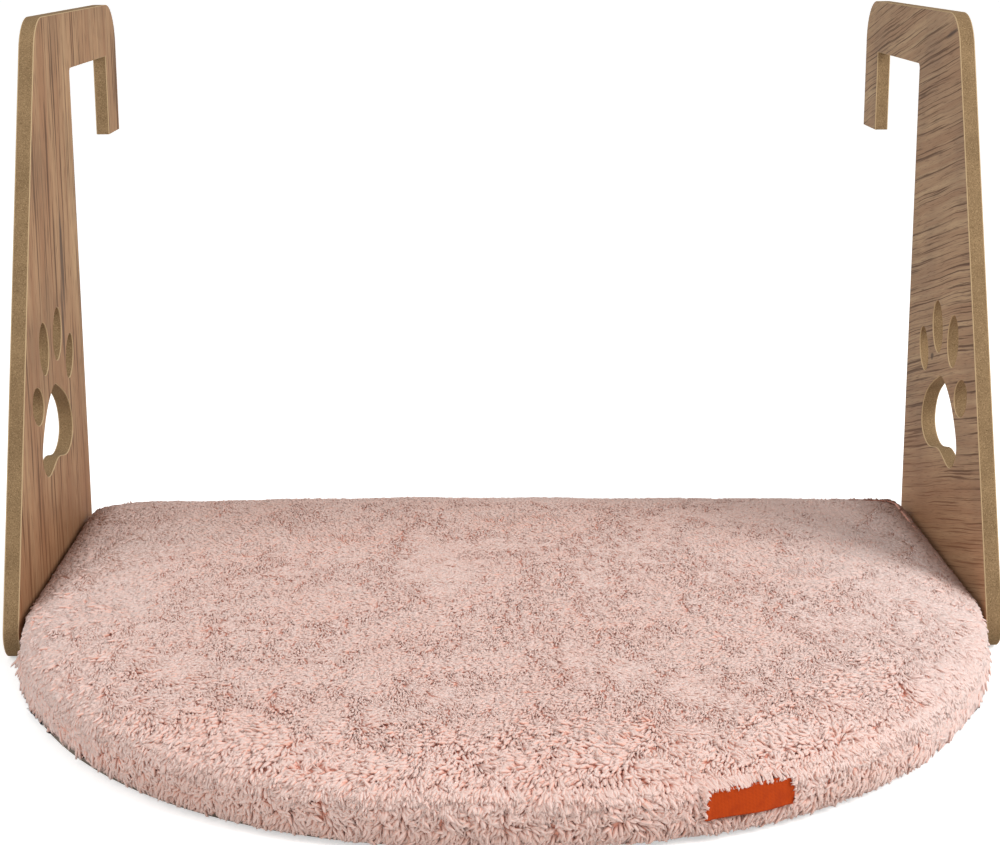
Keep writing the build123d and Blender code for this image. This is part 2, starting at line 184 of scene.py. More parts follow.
def board_material(name, along, across, tints, foot_tint, fineness, marks, warp=0.003):
    """Raw fibreboard at the cuts and wood-grain foil on the faces.

    along and across are functions that build the distance along the fibre and across it. Bands, lines and
    pores are noise in those two, each finer than the last, and a slow noise bends them. Near its foot the
    foil turns to foot_tint. A mark is a soft dark oval, given by its place in y and z, its half length
    and half width."""
    material, tree, shader, place = start_material(name)
    x, y, z = node(tree, "SeparateXYZ", {0: place}).outputs
    lengthwise = along(tree, y, z)
    sway = noise(tree, place, 14.0, 2.0)
    bend = maths(tree, "MULTIPLY", maths(tree, "SUBTRACT", sway, 0.5), warp)
    crosswise = maths(tree, "ADD", across(tree, y, z), bend)

    def grain(long_scale, cross_scale, detail):
        stretched_long = maths(tree, "MULTIPLY", lengthwise, long_scale)
        stretched_cross = maths(tree, "MULTIPLY", crosswise, cross_scale * fineness)
        vector = node(tree, "CombineXYZ", {0: stretched_long, 1: stretched_cross}).outputs[0]
        return noise(tree, vector, 1.0, detail, 0.6)

    bands = grain(3.0, 70.0, 2.0)
    streaks = grain(8.0, 260.0, 2.0)
    lines = grain(9.0, 480.0, 2.0)
    pores = grain(70.0, 1300.0, 1.0)
    patches = noise(tree, place, 16.0, 2.0)
    pale, warm, grey, dark = tints
    foil = laid_over(tree, srgb(*warm), pale, bands, 0.38, 0.62)
    foil = laid_over(tree, foil, grey, patches, 0.45, 0.68, 0.6)
    foil = laid_over(tree, foil, warm, streaks, 0.45, 0.6, 0.5)
    foil = laid_over(tree, foil, pale, streaks, 0.42, 0.3, 0.6)
    foil = laid_over(tree, foil, dark, lines, 0.53, 0.64, 0.85)
    foil = laid_over(tree, foil, dark, pores, 0.56, 0.72, 0.55)
    foil = laid_over(tree, foil, foot_tint, z, 90 * mm, 20 * mm, 0.45)
    ragged = maths(tree, "MULTIPLY", maths(tree, "SUBTRACT", streaks, 0.5), 1.6)
    for mark_y, mark_z, mark_length, mark_width in marks:
        off_along = maths(tree, "SUBTRACT", lengthwise, along(tree, mark_y, mark_z))
        off_across = maths(tree, "SUBTRACT", crosswise, across(tree, mark_y, mark_z))
        off_along = maths(tree, "POWER", maths(tree, "DIVIDE", off_along, mark_length), 2.0)
        off_across = maths(tree, "POWER", maths(tree, "DIVIDE", off_across, mark_width), 2.0)
        far = maths(tree, "ADD", maths(tree, "SQRT", maths(tree, "ADD", off_along, off_across)), ragged)
        foil = laid_over(tree, foil, (74, 60, 54), far, 1.1, 0.5, 0.75)

    specks = noise(tree, place, 1700.0, 3.0, 0.7)
    clouds = noise(tree, place, 60.0, 3.0)
    fibreboard = laid_over(tree, srgb(129, 105, 76), (146, 120, 88), clouds, 0.3, 0.7)
    fibreboard = laid_over(tree, fibreboard, (80, 60, 38), specks, 0.54, 0.7, 0.85)
    fibreboard = laid_over(tree, fibreboard, (176, 150, 114), specks, 0.46, 0.32, 0.75)

    inward = maths(tree, "SUBTRACT", maths(tree, "ABSOLUTE", x), float(inner_x))
    outward = maths(tree, "SUBTRACT", float(outer_x), maths(tree, "ABSOLUTE", x))
    depth = maths(tree, "MINIMUM", inward, outward)
    line = maths(tree, "LESS_THAN", depth, foil_thickness)
    face = maths(tree, "LESS_THAN", depth, 0.02 * mm)
    colour = mixed(tree, line, fibreboard, srgb(190, 164, 128))
    colour = mixed(tree, face, colour, foil)
    height = mixed(tree, face, specks, lines)
    roughness = between(tree, face, 0.0, 1.0, 0.9, 0.7)
    plain = {"Specular_IOR_Level": 0.08}
    finish_shader(tree, shader, colour, roughness, height, bump=0.35, depth=0.25 * mm, **plain)
    return material


upright_grain = board_material(
    "walnut_foil_upright",
    lambda tree, y, z: z,
    lambda tree, y, z: y,
    ((184, 151, 116), (158, 120, 90), (132, 106, 82), (92, 66, 48)),
    foot_tint=(158, 102, 66),
    fineness=0.45,
    marks=((147 * mm, 186 * mm, 34 * mm, 4 * mm), (142 * mm, 150 * mm, 26 * mm, 3 * mm)),
)


def slanting_across(tree, y, z):
    """Height, sheared about the board's middle by a slope of a third at the foot and a quarter at the
    top."""
    slope = between(tree, z, 50 * mm, 270 * mm, 0.33, 0.23)
    behind = maths(tree, "SUBTRACT", y, 120 * mm)
    return maths(tree, "ADD", z, maths(tree, "MULTIPLY", behind, slope))


slanting_grain = board_material(
    "walnut_foil_slanting",
    lambda tree, y, z: y,
    slanting_across,
    ((184, 156, 124), (162, 130, 102), (138, 114, 94), (86, 62, 48)),
    foot_tint=(192, 134, 95),
    fineness=1.5,
    marks=((122 * mm, 314 * mm, 16 * mm, 1.6 * mm), (135 * mm, 129 * mm, 3.4 * mm, 2.2 * mm)),
    warp=0.004,
)


def deck_material():
    """The deck's face: the same fibreboard in a dark grey-brown, which is painted shade."""
    material, tree, shader, place = start_material("deck_shade_grey")
    specks = noise(tree, place, 900.0, 3.0, 0.7)
    clouds = noise(tree, place, 30.0, 3.0)
    # Painted shade: the grey-brown of the shaded strip under the hem, given to the whole board
    colour = laid_over(tree, srgb(104, 92, 80), (122, 110, 96), clouds, 0.35, 0.65)
    colour = laid_over(tree, colour, (80, 68, 56), specks, 0.55, 0.75, 0.6)
    finish_shader(tree, shader, colour, 0.7, specks, bump=0.3, depth=0.2 * mm)
    return material


def wear(node_name, material):
    """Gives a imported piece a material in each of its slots."""
    for material_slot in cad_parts[node_name].material_slots:
        material_slot.material = material


wear("bracket_left", upright_grain)
wear("bracket_right", slanting_grain)
wear("deck_board", deck_material())

# %% [markdown]
# ## Steel, beech and tape
#
# The bolts and barrel nuts are zinc-plated steel, whose shine is broken by fine turning marks and a
# cloudy plating. The dowels are plain beech, and the hook tape is black nylon. They show when the
# cushion is lifted or the bed is turned over, so each gets its own colour, roughness and grain rather
# than one flat grey.
# %% Hardware finishes


def metal_material(name, light, dark, roughness, scratch_scale):
    """Plated metal: a cloudy tint, and long scratches that change its roughness."""
    material, tree, shader, place = start_material(name)
    clouds = noise(tree, place, 260.0, 3.0)
    scratches = noise(tree, stretched(tree, place, (1.0, 14.0, 14.0)), scratch_scale, 2.0)
    colour = laid_over(tree, srgb(*dark), light, clouds, 0.35, 0.65)
    rough = between(tree, scratches, 0.3, 0.7, roughness - 0.08, roughness + 0.12)
    finish_shader(tree, shader, colour, rough, scratches, bump=0.15, depth=0.05 * mm, Metallic=1.0)
    return material


def beech_material():
    """Pale beech with short dark flecks along the dowel."""
    material, tree, shader, place = start_material("beech")
    fibres = noise(tree, stretched(tree, place, (60.0, 900.0, 900.0)), 1.0, 2.0)
    colour = laid_over(tree, srgb(214, 178, 136), (176, 132, 92), fibres, 0.35, 0.7)
    finish_shader(tree, shader, colour, 0.6, fibres, bump=0.3, depth=0.1 * mm)
    return material


def hook_material(name, light, dark, scale):
    """Hook-and-loop tape: a dense field of small round bumps."""
    material, tree, shader, place = start_material(name)
    dots = node(tree, "TexVoronoi", {"Vector": place, "Scale": scale}).outputs["Distance"]
    colour = laid_over(tree, srgb(*light), dark, dots, 0.1, 0.6)
    height = maths(tree, "SUBTRACT", 1.0, dots)
    finish_shader(tree, shader, colour, 0.65, height, bump=0.9, depth=0.5 * mm, Sheen_Weight=0.2)
    return material


zinc = metal_material("zinc_plate", (196, 198, 200), (160, 162, 166), 0.34, 900.0)
nickel = metal_material("nickel", (206, 202, 194), (170, 166, 160), 0.26, 1500.0)
wear("connector_bolts", zinc)
wear("barrel_nuts", zinc)
wear("locating_dowels", beech_material())
wear("hook_strips", hook_material("hook_tape", (52, 50, 50), (14, 14, 15), 1300.0))
wear("zip_slider", nickel)
wear("zip_pull", nickel)
wear("zip_stops", nickel)

# %% [markdown]
# ## Putting surfaces into meshes
#
# All new pieces but the pile are grids: rows of points, where each row is a closed ring. Joining
# neighbours gives the faces, and an end is mostly closed by a fan about its middle. The faces are
# worked out as whole arrays, which stays quick for meshes of a hundred thousand faces.
# %% Mesh helpers


def smooth_step(value, low, high):
    """0 below low, 1 above high and a soft curve between."""
    share = np.clip((value - low) / (high - low), 0, 1)
    return share * share * (3 - 2 * share)


def add_piece(name, places, faces, material, body, slot):
    """Makes an object from points and faces of equal size, and lets it ride on its body."""
    faces = np.asarray(faces, np.int32)
    mesh = bpy.data.meshes.new(name)
    mesh.vertices.add(len(places))
    mesh.vertices.foreach_set("co", np.asarray(places, np.float32).ravel())
    mesh.loops.add(faces.size)
    mesh.loops.foreach_set("vertex_index", faces.ravel())
    mesh.polygons.add(len(faces))
    mesh.polygons.foreach_set("loop_start", np.arange(0, faces.size, faces.shape[1], dtype=np.int32))
    mesh.update(calc_edges=True)
    mesh.validate()
    mesh.polygons.foreach_set("use_smooth", np.ones(len(mesh.polygons), bool))
    mesh.materials.append(material)
    piece = bpy.data.objects.new(name, mesh)
    bpy.context.collection.objects.link(piece)
    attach(piece, body)
    return piece


def grid_faces(rows, columns):
    """Quads between the points of a grid whose rows are rings, so its last column joins its first."""
    row = np.arange(rows - 1)[:, None]
    column = np.arange(columns)[None]
    after = (column + 1) % columns
    low, high = row * columns, (row + 1) * columns
    corners = np.broadcast_arrays(low + column, low + after, high + after, high + column)
    return np.stack(corners, -1).reshape(-1, 4)


def in_triangles(quads):
    """Each quad as two triangles."""
    return np.concatenate([quads[:, [0, 1, 2]], quads[:, [0, 2, 3]]])


def closed_tube(rings):
    """Points and triangles of a skin over rings of points, closed at both ends by a fan about the
    middle."""
    rows, columns = rings.shape[:2]
    places = np.concatenate([rings.reshape(-1, 3), rings[:1].mean(1), rings[-1:].mean(1)])
    side = in_triangles(grid_faces(rows, columns))
    here = np.arange(columns)
    after = (here + 1) % columns
    first = np.stack([after, here, np.full(columns, rows * columns)], 1)
    last = np.stack([here, after, np.full(columns, columns + 1)], 1) + (rows - 1) * columns
    return places, np.concatenate([side, first, last])


# %% [markdown]
# ## The D of the cushion
#
# Seen from above the cushion is a D: a short straight front, two large round corners, straight sides
# and a straight back. Moving this outline inwards gives every ring of the stuffed form, so one function
# serves the cushion, the skirt, the label and the cloth below. It walks the right half and mirrors it.
# %% Outline

cushion_low, cushion_high = (np.array(corner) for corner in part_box("plush_cover"))
half_width = float(cushion_high[0])
front_y, back_y = float(cushion_low[1]), float(cushion_high[1])
deck_top = float(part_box("deck_board")[1][2])
corner_radius = 232.0 * mm
back_radius = 16.0 * mm
rear_growth = 0.25
corner_x = half_width - corner_radius
corner_y = front_y + corner_radius
half_steps = (4, 72, 30, 6, 66)


def d_outline(inset):
    """Rings of points round the D, one for each inset, and the outward direction at each point.

    An arc keeps its centre and loses the inset from its radius, and a straight part moves in by it. The
    back corners grow rounder by a share of the inset, as stuffed corners do."""
    inset = np.atleast_1d(inset).astype(float)[:, None]
    half, low, high = half_width - inset, front_y + inset, back_y - inset
    front, rear = corner_radius - inset, back_radius + inset * rear_growth
    front_step, corner_step, side_step, rear_step, back_step = (np.arange(n)[None] / n for n in half_steps)
    corner = (corner_step - 1) * np.pi / 2
    turned = rear_step * np.pi / 2
    level = np.zeros_like(inset)
    x = np.hstack([
        front_step * (half - front),
        half - front + front * np.cos(corner),
        half + 0 * side_step,
        half - rear + rear * np.cos(turned),
        (1 - back_step) * (half - rear),
        level,
    ])
    y = np.hstack([
        low + 0 * front_step,
        low + front + front * np.sin(corner),
        (low + front) * (1 - side_step) + (high - rear) * side_step,
        high - rear + rear * np.sin(turned),
        high + 0 * back_step,
        high,
    ])
    ahead, behind = 0 * front_step - np.pi / 2, 0 * back_step + np.pi / 2
    angle = np.hstack([ahead, corner, 0 * side_step, turned, behind, [[np.pi / 2]]])
    points = np.stack([x, y], -1)
    outward = np.stack([np.cos(angle), np.sin(angle)], -1)
    mirrored = np.array([-1.0, 1.0])
    points = np.concatenate([points, points[:, -2:0:-1] * mirrored], 1)
    outward = np.concatenate([outward, outward[:, -2:0:-1] * mirrored], 1)
    return points, np.broadcast_to(outward, points.shape)


def lifted(rings, heights):
    """Flat rings put at their heights, one height for each ring or for each point."""
    heights = np.broadcast_to(np.asarray(heights, float).reshape(len(rings), -1), rings.shape[:2])
    return np.concatenate([rings, heights[..., None]], -1)


# %% [markdown]
# ## The stuffed form
#
# Under the pile is a knitted backing stretched over foam: a flat underside, round sides and a low
# crown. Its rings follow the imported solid's, moved in by the height of the pile and with a deeper roll,
# which turns over into the crown without a crease. That alone looks machined. Real stuffing pushes the
# cloth out a little between its seams, so the form is remeshed into even quads and blown up as cloth
# for a few frames, with a cap on how far any point may go. Slow lumps in the crown do the rest. Three
# small moves follow the real cushion: its back is filled a little more left of the middle, its stuffing
# has settled at the front left corner, and behind the zip's tapes the cloth is hollow. The pile is
# planted on the result.
# %% Backing

pile_depth_side = 2.4 * mm
pile_depth_top = 0.6 * mm
# What the cloth step adds to the top and, because a blown-up form draws its rim in, takes off the sides
swell = 1.4 * mm
rim_pull = 2.6 * mm
most_blown = 1.6 * mm
settled_by = 2.2 * mm
fill_z = float(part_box("underside_panel")[1][2]) + 0.1 * mm
roll_depth = 19.0 * mm
crown_room = 119.6 * mm
# Rings from the hem up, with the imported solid's shares: of the height, of the roll and of the crown
ring_shares = np.array([
    (0.0, 0.23, 0.0), (0.075, 0.10, 0.0), (0.18, 0.03, 0.0), (0.33, 0.0, 0.0),
    (0.48, 0.0, 0.0), (0.615, 0.04, 0.0), (0.735, 0.19, 0.0), (0.825, 0.46, 0.0),
    (0.89, 1.0, 0.0), (0.95, 1.0, 0.152), (0.985, 1.0, 0.398), (1.0, 1.0, 0.6555),
])


def ring_heights(top_skin):
    """Height of each ring when this much is taken off the top."""
    return cushion_low[2] + (cushion_high[2] - cushion_low[2] - top_skin) * ring_shares[:, 0]


def ring_insets(side_skin):
    """Inset of each ring when this much is taken off the sides."""
    return side_skin + ring_shares[:, 1] * roll_depth + ring_shares[:, 2] * crown_room


def toward_middle(ring, shares):
    """Copies of a ring drawn in towards the middle of the bed by shares of the way."""
    return ring[None] * (1 - np.asarray(shares)[:, None, None])


def stuffed_rings(side_skin, top_skin):
    """Rings of the form from the middle of its underside, round its side, to the middle of its crown."""
    height, inset = ring_heights(top_skin), ring_insets(side_skin)
    above = height > fill_z + 3 * mm
    wall, _ = d_outline(inset[above])
    below, _ = d_outline(side_skin + np.array([60.0, 24.0, 6.0, 1.5, 0.4]) * mm)
    below_z = fill_z + np.array([0.0, 0.0, 0.0, 0.5, 1.6]) * mm
    inner_below = toward_middle(below[0], [0.97, 0.8, 0.6, 0.4, 0.2])
    inner_top = toward_middle(wall[-1], [0.2, 0.4, 0.6, 0.8, 0.97])
    rings = [lifted(inner_below, np.full(5, fill_z)), lifted(below, below_z), lifted(wall, height[above])]
    crown = height[-1] + 0.3 * mm * np.array([0.3, 0.6, 0.8, 1.0, 1.0])
    return np.concatenate([*rings, lifted(inner_top, crown)])


def backing_material():
    """Salmon knit, seen only between the tufts: fine courses of loops."""
    material, tree, shader, place = start_material("knit_backing")
    loops = node(tree, "TexVoronoi", {"Vector": place, "Scale": 900.0}).outputs["Distance"]
    clouds = noise(tree, place, 40.0, 2.0)
    colour = laid_over(tree, srgb(228, 162, 140), (238, 180, 160), clouds, 0.35, 0.65)
    colour = laid_over(tree, colour, (212, 140, 118), loops, 0.2, 0.6, 0.4)
    finish_shader(tree, shader, colour, 0.9, loops, bump=0.5, depth=0.3 * mm, Sheen_Weight=0.3)
    return material


knit = backing_material()
places, triangles = closed_tube(stuffed_rings(pile_depth_side - rim_pull, pile_depth_top + swell))
backing = add_piece("plush_backing", places, triangles, knit, "cushion", "plush")
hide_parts("plush_cover")


def mesh_points(mesh):
    """The places of a mesh's vertices, as rows."""
    flat = np.empty(len(mesh.vertices) * 3, np.float32)
    mesh.vertices.foreach_get("co", flat)
    return flat.reshape(-1, 3).astype(float)


def apply_modifiers(piece):
    """Puts what a piece's modifiers make into its mesh, and drops them."""
    graph = bpy.context.evaluated_depsgraph_get()
    graph.update()
    made = bpy.data.meshes.new_from_object(piece.evaluated_get(graph))
    piece.modifiers.clear()
    piece.data = made


def inflate(piece, voxel, pressure, frames, cap):
    """Remeshes a closed piece into even quads and blows it up as cloth. No point moves more than cap."""
    remesh = piece.modifiers.new("even_quads", "REMESH")
    remesh.mode = "VOXEL"
    remesh.voxel_size = voxel
    remesh.use_smooth_shade = True
    apply_modifiers(piece)
    start = mesh_points(piece.data)
    cloth = piece.modifiers.new("cloth", "CLOTH")
    cloth.settings.quality = 4
    cloth.settings.use_pressure = True
    cloth.settings.uniform_pressure_force = pressure
    cloth.settings.effector_weights.gravity = 0.0
    cloth.collision_settings.use_self_collision = False
    for step in range(1, frames + 1):
        bpy.context.scene.frame_set(step)
    graph = bpy.context.evaluated_depsgraph_get()
    move = mesh_points(piece.evaluated_get(graph).data) - start
    piece.modifiers.clear()
    bpy.context.scene.frame_set(1)
    far = np.linalg.norm(move, axis=1, keepdims=True)
    move *= cap / (cap + far)
    place = start + move
    place[:, 2] = np.maximum(place[:, 2], fill_z)
    piece.data.vertices.foreach_set("co", place.astype(np.float32).ravel())
    piece.data.update()
    kept = np.linalg.norm(move, axis=1)
    print("cloth moved", np.round((far.mean() / mm, kept.mean() / mm), 2).tolist(), "mm, then capped")


rng = np.random.default_rng(7)


def slow_waves(points, wavelengths):
    """A smooth value over the bed: a sum of waves of these lengths, each with its own way and phase."""
    value = np.zeros(len(points))
    for wavelength in wavelengths:
        heading, phase = rng.uniform(0, 2 * np.pi, 2)
        along = points[:, 0] * np.cos(heading) + points[:, 1] * np.sin(heading)
        value += np.sin(2 * np.pi * along / wavelength + phase)
    return value


tape_low, tape_high = (np.array(corner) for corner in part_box("zip_tapes"))


def behind_tapes(points, depth, spread):
    """Points moved in behind the zip's tapes, to a depth below their back, where they would cover them.

    The hollow ends softly: within spread above the slot, and within 6 mm past its ends."""
    along = smooth_step(tape_high[0] + 2 * mm - np.abs(points[..., 0]), 0.0, 6 * mm)
    above = smooth_step(tape_high[2] + spread - points[..., 2], 0.0, 0.8 * spread)
    above *= smooth_step(points[..., 2] - tape_low[2], -0.5 * mm, 0.5 * mm)
    over = np.maximum(points[..., 1] - (tape_low[1] - depth), 0)
    moved = points.copy()
    moved[..., 1] -= over * along * above
    return moved


def slumped(points):
    """Points moved in at the front left corner, where the real cushion's stuffing has settled.

    The share rises and falls with the angle round the corner, and grows with the distance from its
    centre."""
    from_corner = points[..., :2] - np.array([-corner_x, corner_y])
    reach = np.hypot(from_corner[..., 0], from_corner[..., 1]) + 1e-9
    angle = np.degrees(np.arctan2(-from_corner[..., 1], -from_corner[..., 0]))
    share = smooth_step(angle, 12, 45) * smooth_step(100 - angle, 0, 30)
    share = share * np.minimum(reach / corner_radius, 1) ** 4
    moved = points.copy()
    moved[..., :2] -= (settled_by * share / reach)[..., None] * from_corner
    return moved


inflate(backing, voxel=5.0 * mm, pressure=4.0, frames=20, cap=most_blown)
backing.data.materials.clear()
backing.data.materials.append(knit)
form = mesh_points(backing.data)
on_crown = np.clip((form[:, 2] - fill_z) / (cushion_high[2] - fill_z) - 0.3, 0, 1)
fuller = 3.8 * np.exp(-(((form[:, 0] + 70 * mm) / (160 * mm)) ** 2))
fuller -= 2.8 * smooth_step(form[:, 0], 140 * mm, 230 * mm)
fuller *= smooth_step(form[:, 1], 70 * mm, 160 * mm)
form[:, 2] += on_crown * mm * (fuller * 2 + 0.55 * slow_waves(form, (0.17, 0.12, 0.09, 0.075)))
form = slumped(behind_tapes(form, 1.8 * mm, 4.0 * mm))
backing.data.vertices.foreach_set("co", form.astype(np.float32).ravel())
backing.data.update()
print("backing", len(backing.data.polygons), "faces, top", round(float(form[:, 2].max()) / mm, 1), "mm")
print("backing half width", round(float(np.abs(form[:, 0]).max()) / mm, 1), "mm")

# %% [markdown]
# ## The skirt
#
# The cover's side runs on below the cushion's underside. In front it hangs over the deck's edge and
# ends in a turned hem. Beside and behind, where the deck reaches the cushion's edge, it stops just
# above the deck. So it is a band with a changing lower edge: it follows the form's side and has a
# thickness of its own, because it is seen from below when the cushion is lifted. It takes the same
# hollow behind the zip as the backing, and the same settled corner. There its hem reaches about a
# millimetre into the deck's edge, under the pile.
# %% Skirt

skirt_thickness = 1.2 * mm
hem_z = float(cushion_low[2]) + 0.5 * mm
seat_z = deck_top + 0.5 * mm
deck_room = 0.7 * mm
deck_corner_radius = 235.0 * mm
deck_low = np.array(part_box("deck_board")[0])
deck_corner = np.array([-deck_low[0] - deck_corner_radius, deck_low[1] + deck_corner_radius])


def outside_deck(points):
    """How far points lie outside the deck's D: beyond its corner arcs in front, and its sides behind."""
    across = np.abs(points[..., 0]) - deck_corner[0]
    ahead = deck_corner[1] - points[..., 1]
    round_corner = np.hypot(np.maximum(across, 0), ahead) - deck_corner_radius
    return np.where(ahead > 0, round_corner, across - deck_corner_radius)


def skirt_surface(depth, steps=14):
    """Rings of a face of the skirt at this depth, from its changing lower edge up to where the backing
    takes over.

    Each column has its own lowest height. The inset at a height is read off the form's rings, and below
    the deck's top it is held far enough out to clear the deck."""
    outline, outward = d_outline(0.0)
    room = outside_deck(outline[0]) - deck_room - skirt_thickness
    hangs = np.clip(room / (2.5 * mm), 0, 1)
    low = seat_z + (hem_z - seat_z) * hangs
    high = ring_heights(0.0)[6]
    height = low + (high - low) * np.linspace(0, 1, steps)[:, None]
    inset = np.interp(height, ring_heights(0.0), ring_insets(depth))
    beside_deck = height < seat_z
    most = np.maximum(room, 0.6 * mm) + depth - pile_depth_side
    inset = np.where(beside_deck & (hangs > 0), np.minimum(inset, most), inset)
    inset += 1.0 * mm * smooth_step(height, high - 2.0 * mm, high)
    rings = outline - inset[..., None] * outward
    return np.concatenate([rings, height[..., None]], -1)


skirt_outer = slumped(behind_tapes(skirt_surface(pile_depth_side), 0.7 * mm, 1.0 * mm))
skirt_inner = skirt_surface(pile_depth_side + skirt_thickness)
skirt_inner = slumped(behind_tapes(skirt_inner, 1.6 * mm, 1.0 * mm))[::-1]
skirt = np.concatenate([skirt_outer, skirt_inner])
rows, columns = skirt.shape[:2]
last_row = (rows - 1) * columns
closing = grid_faces(2, columns)
closing = np.where(closing >= columns, closing - columns, closing + last_row)
skirt_faces = in_triangles(np.concatenate([grid_faces(rows, columns), closing]))
skirt_piece = add_piece("plush_skirt", skirt.reshape(-1, 3), skirt_faces, knit, "cushion", "plush")
lowest_hem = round(float(skirt[..., 2].min()) / mm, 1)
print("skirt", len(skirt_piece.data.polygons), "faces, lowest", lowest_hem, "mm")

# %% [markdown]
# ## Planting the pile
#
# The plush is a deep pile whose fibres have matted into small locks. Hair curves would be simplest, but
# they can't leave with the model, so every lock is a little closed horn that leans and curls. There are
# two kinds: fine locks of three sides, and plump ones of four, which grow towards the front. Roots are
# taken at random from the faces, by area, and then one is kept in each small cell, which spreads them
# evenly without lining them up. Each kind has roots of its own, and the next step decides where which
# kind grows.
# %% Roots


def scatter(places, triangles, spacing, flat):
    """Evenly spread random points on triangles, with their normals.

    A point is a corner plus random shares of the two edges that leave it. Of the points that fall into
    one cell, the one nearest its middle is kept. Cells are columns where the surface is flat and cubes on
    the sides."""
    first, second, third = (places[triangles[:, k]] for k in range(3))
    cross = np.cross(second - first, third - first)
    area = np.linalg.norm(cross, axis=1) / 2 + 1e-12
    count = int(area.sum() / spacing**2 * 5)
    chosen = rng.choice(len(triangles), count, p=area / area.sum())
    share = rng.random((2, count, 1))
    share = np.where(share.sum(0) > 1, 1 - share, share)
    points = first[chosen] + share[0] * (second - first)[chosen] + share[1] * (third - first)[chosen]
    corner_normals = np.zeros_like(places)
    for k in range(3):
        np.add.at(corner_normals, triangles[:, k], cross)
    corner_normals /= np.linalg.norm(corner_normals, axis=1, keepdims=True) + 1e-12
    weights = (1 - share.sum(0), share[0], share[1])
    normals = sum(weights[k] * corner_normals[triangles[chosen, k]] for k in range(3))
    normals /= np.linalg.norm(normals, axis=1, keepdims=True)
    cell, within = np.divmod((points + 1.0) / spacing, 1)
    off_middle = np.abs(within - 0.5)
    if flat:
        cell[:, 2] = off_middle[:, 2] = 0
    order = np.argsort(off_middle.max(1))
    cell = cell[order].astype(np.int64)
    _, first_seen = np.unique((cell[:, 0] * 8192 + cell[:, 1]) * 8192 + cell[:, 2], return_index=True)
    kept = order[first_seen]
    return points[kept], normals[kept]


def triangles_of(mesh):
    """A mesh's faces as triangles."""
    mesh.calc_loop_triangles()
    flat = np.empty(len(mesh.loop_triangles) * 3, np.int32)
    mesh.loop_triangles.foreach_get("vertices", flat)
    return flat.reshape(-1, 3)


backing_triangles = triangles_of(backing.data)
corners = form[backing_triangles]
face_normal = np.cross(corners[:, 1] - corners[:, 0], corners[:, 2] - corners[:, 0])
face_normal /= np.linalg.norm(face_normal, axis=1, keepdims=True) + 1e-12
skirt_top = float(skirt[..., 2].max())
facing_up = face_normal[:, 2] > 0.8
on_roll = (face_normal[:, 2] <= 0.8) & (corners[:, :, 2].max(1) > skirt_top - 2.5 * mm)
skirt_triangles = in_triangles(grid_faces(*skirt_outer.shape[:2]))


def plant(top_spacing, side_spacing):
    """Roots and normals over the top, the roll and the skirt."""
    top = scatter(form, backing_triangles[facing_up], top_spacing, flat=True)
    roll = scatter(form, backing_triangles[on_roll], side_spacing, flat=False)
    side = scatter(skirt_outer.reshape(-1, 3), skirt_triangles, side_spacing, flat=False)
    return [np.concatenate(parts) for parts in zip(top, roll, side)]


fine_roots = plant(top_spacing=1.12 * mm, side_spacing=1.3 * mm)
plump_roots = plant(top_spacing=1.75 * mm, side_spacing=1.7 * mm)
print("roots", len(fine_roots[0]), "fine,", len(plump_roots[0]), "plump")

# %% [markdown]
# ## Combing the pile
#
# On top the pile has been stroked every way, so the angle of its lean drifts slowly over the bed.
# Towards the rounded edge it falls outwards, along the hem it hangs, and above the zip it stands up.
# Locks also cling together, so all those in a small patch share part of their lean and their length.
# Plump locks begin some way in from the front edge and mix with the fine ones there. At the left and
# right the pile is longer and lies smoother. Painted shade darkens it beside the boards, where they
# shadow it, towards the back and low down along the front, where the roll shades the hem.
# %% Comb


def edge_distance(points):
    """How far in from the cushion's outline a point lies, and the way outwards from there."""
    x, y = points[:, 0], points[:, 1]
    across = np.abs(x) - corner_x
    ahead = corner_y - y
    radius = np.hypot(np.maximum(across, 0), ahead)
    round_way = np.stack([np.sign(x) * np.maximum(across, 0), -ahead], 1) / (radius[:, None] + 1e-9)
    beside, behind = half_width - np.abs(x), back_y - y
    nearer_side = smooth_step(behind - beside, -10 * mm, 10 * mm)[:, None]
    square_way = nearer_side * np.stack([np.sign(x), 0 * x], 1) + (1 - nearer_side) * np.array([0.0, 1.0])
    distance = np.where(ahead > 0, corner_radius - radius, np.minimum(beside, behind))
    way = np.where((ahead > 0)[:, None], round_way, square_way)
    return distance, way / (np.linalg.norm(way, axis=1, keepdims=True) + 1e-9)


def drifting(points, size, amount):
    """Random numbers that change smoothly over the bed, one column for each of amount.

    Each corner of a net of cubes of this size has its own numbers, and a point takes a smooth mean of its
    eight."""
    cell, within = np.divmod((points + 0.4) / size, 1)
    cell = cell.astype(int)
    within = within * within * (3 - 2 * within)
    cell -= cell.min(0)
    table = rng.normal(size=(*(cell.max(0) + 2), amount))
    value = 0
    for corner in np.ndindex(2, 2, 2):
        share = np.where(corner, within, 1 - within).prod(1)
        value = value + share[:, None] * table[tuple((cell + corner).T)]
    return value


def turned(angle):
    """Level directions at these angles."""
    return np.stack([np.cos(angle), np.sin(angle), 0 * angle], 1)


# Over what distances the pile's ways change
patch_size = 3.4 * mm
clump_size = 9 * mm
eddy_size = 13 * mm
swirl_size = 40 * mm

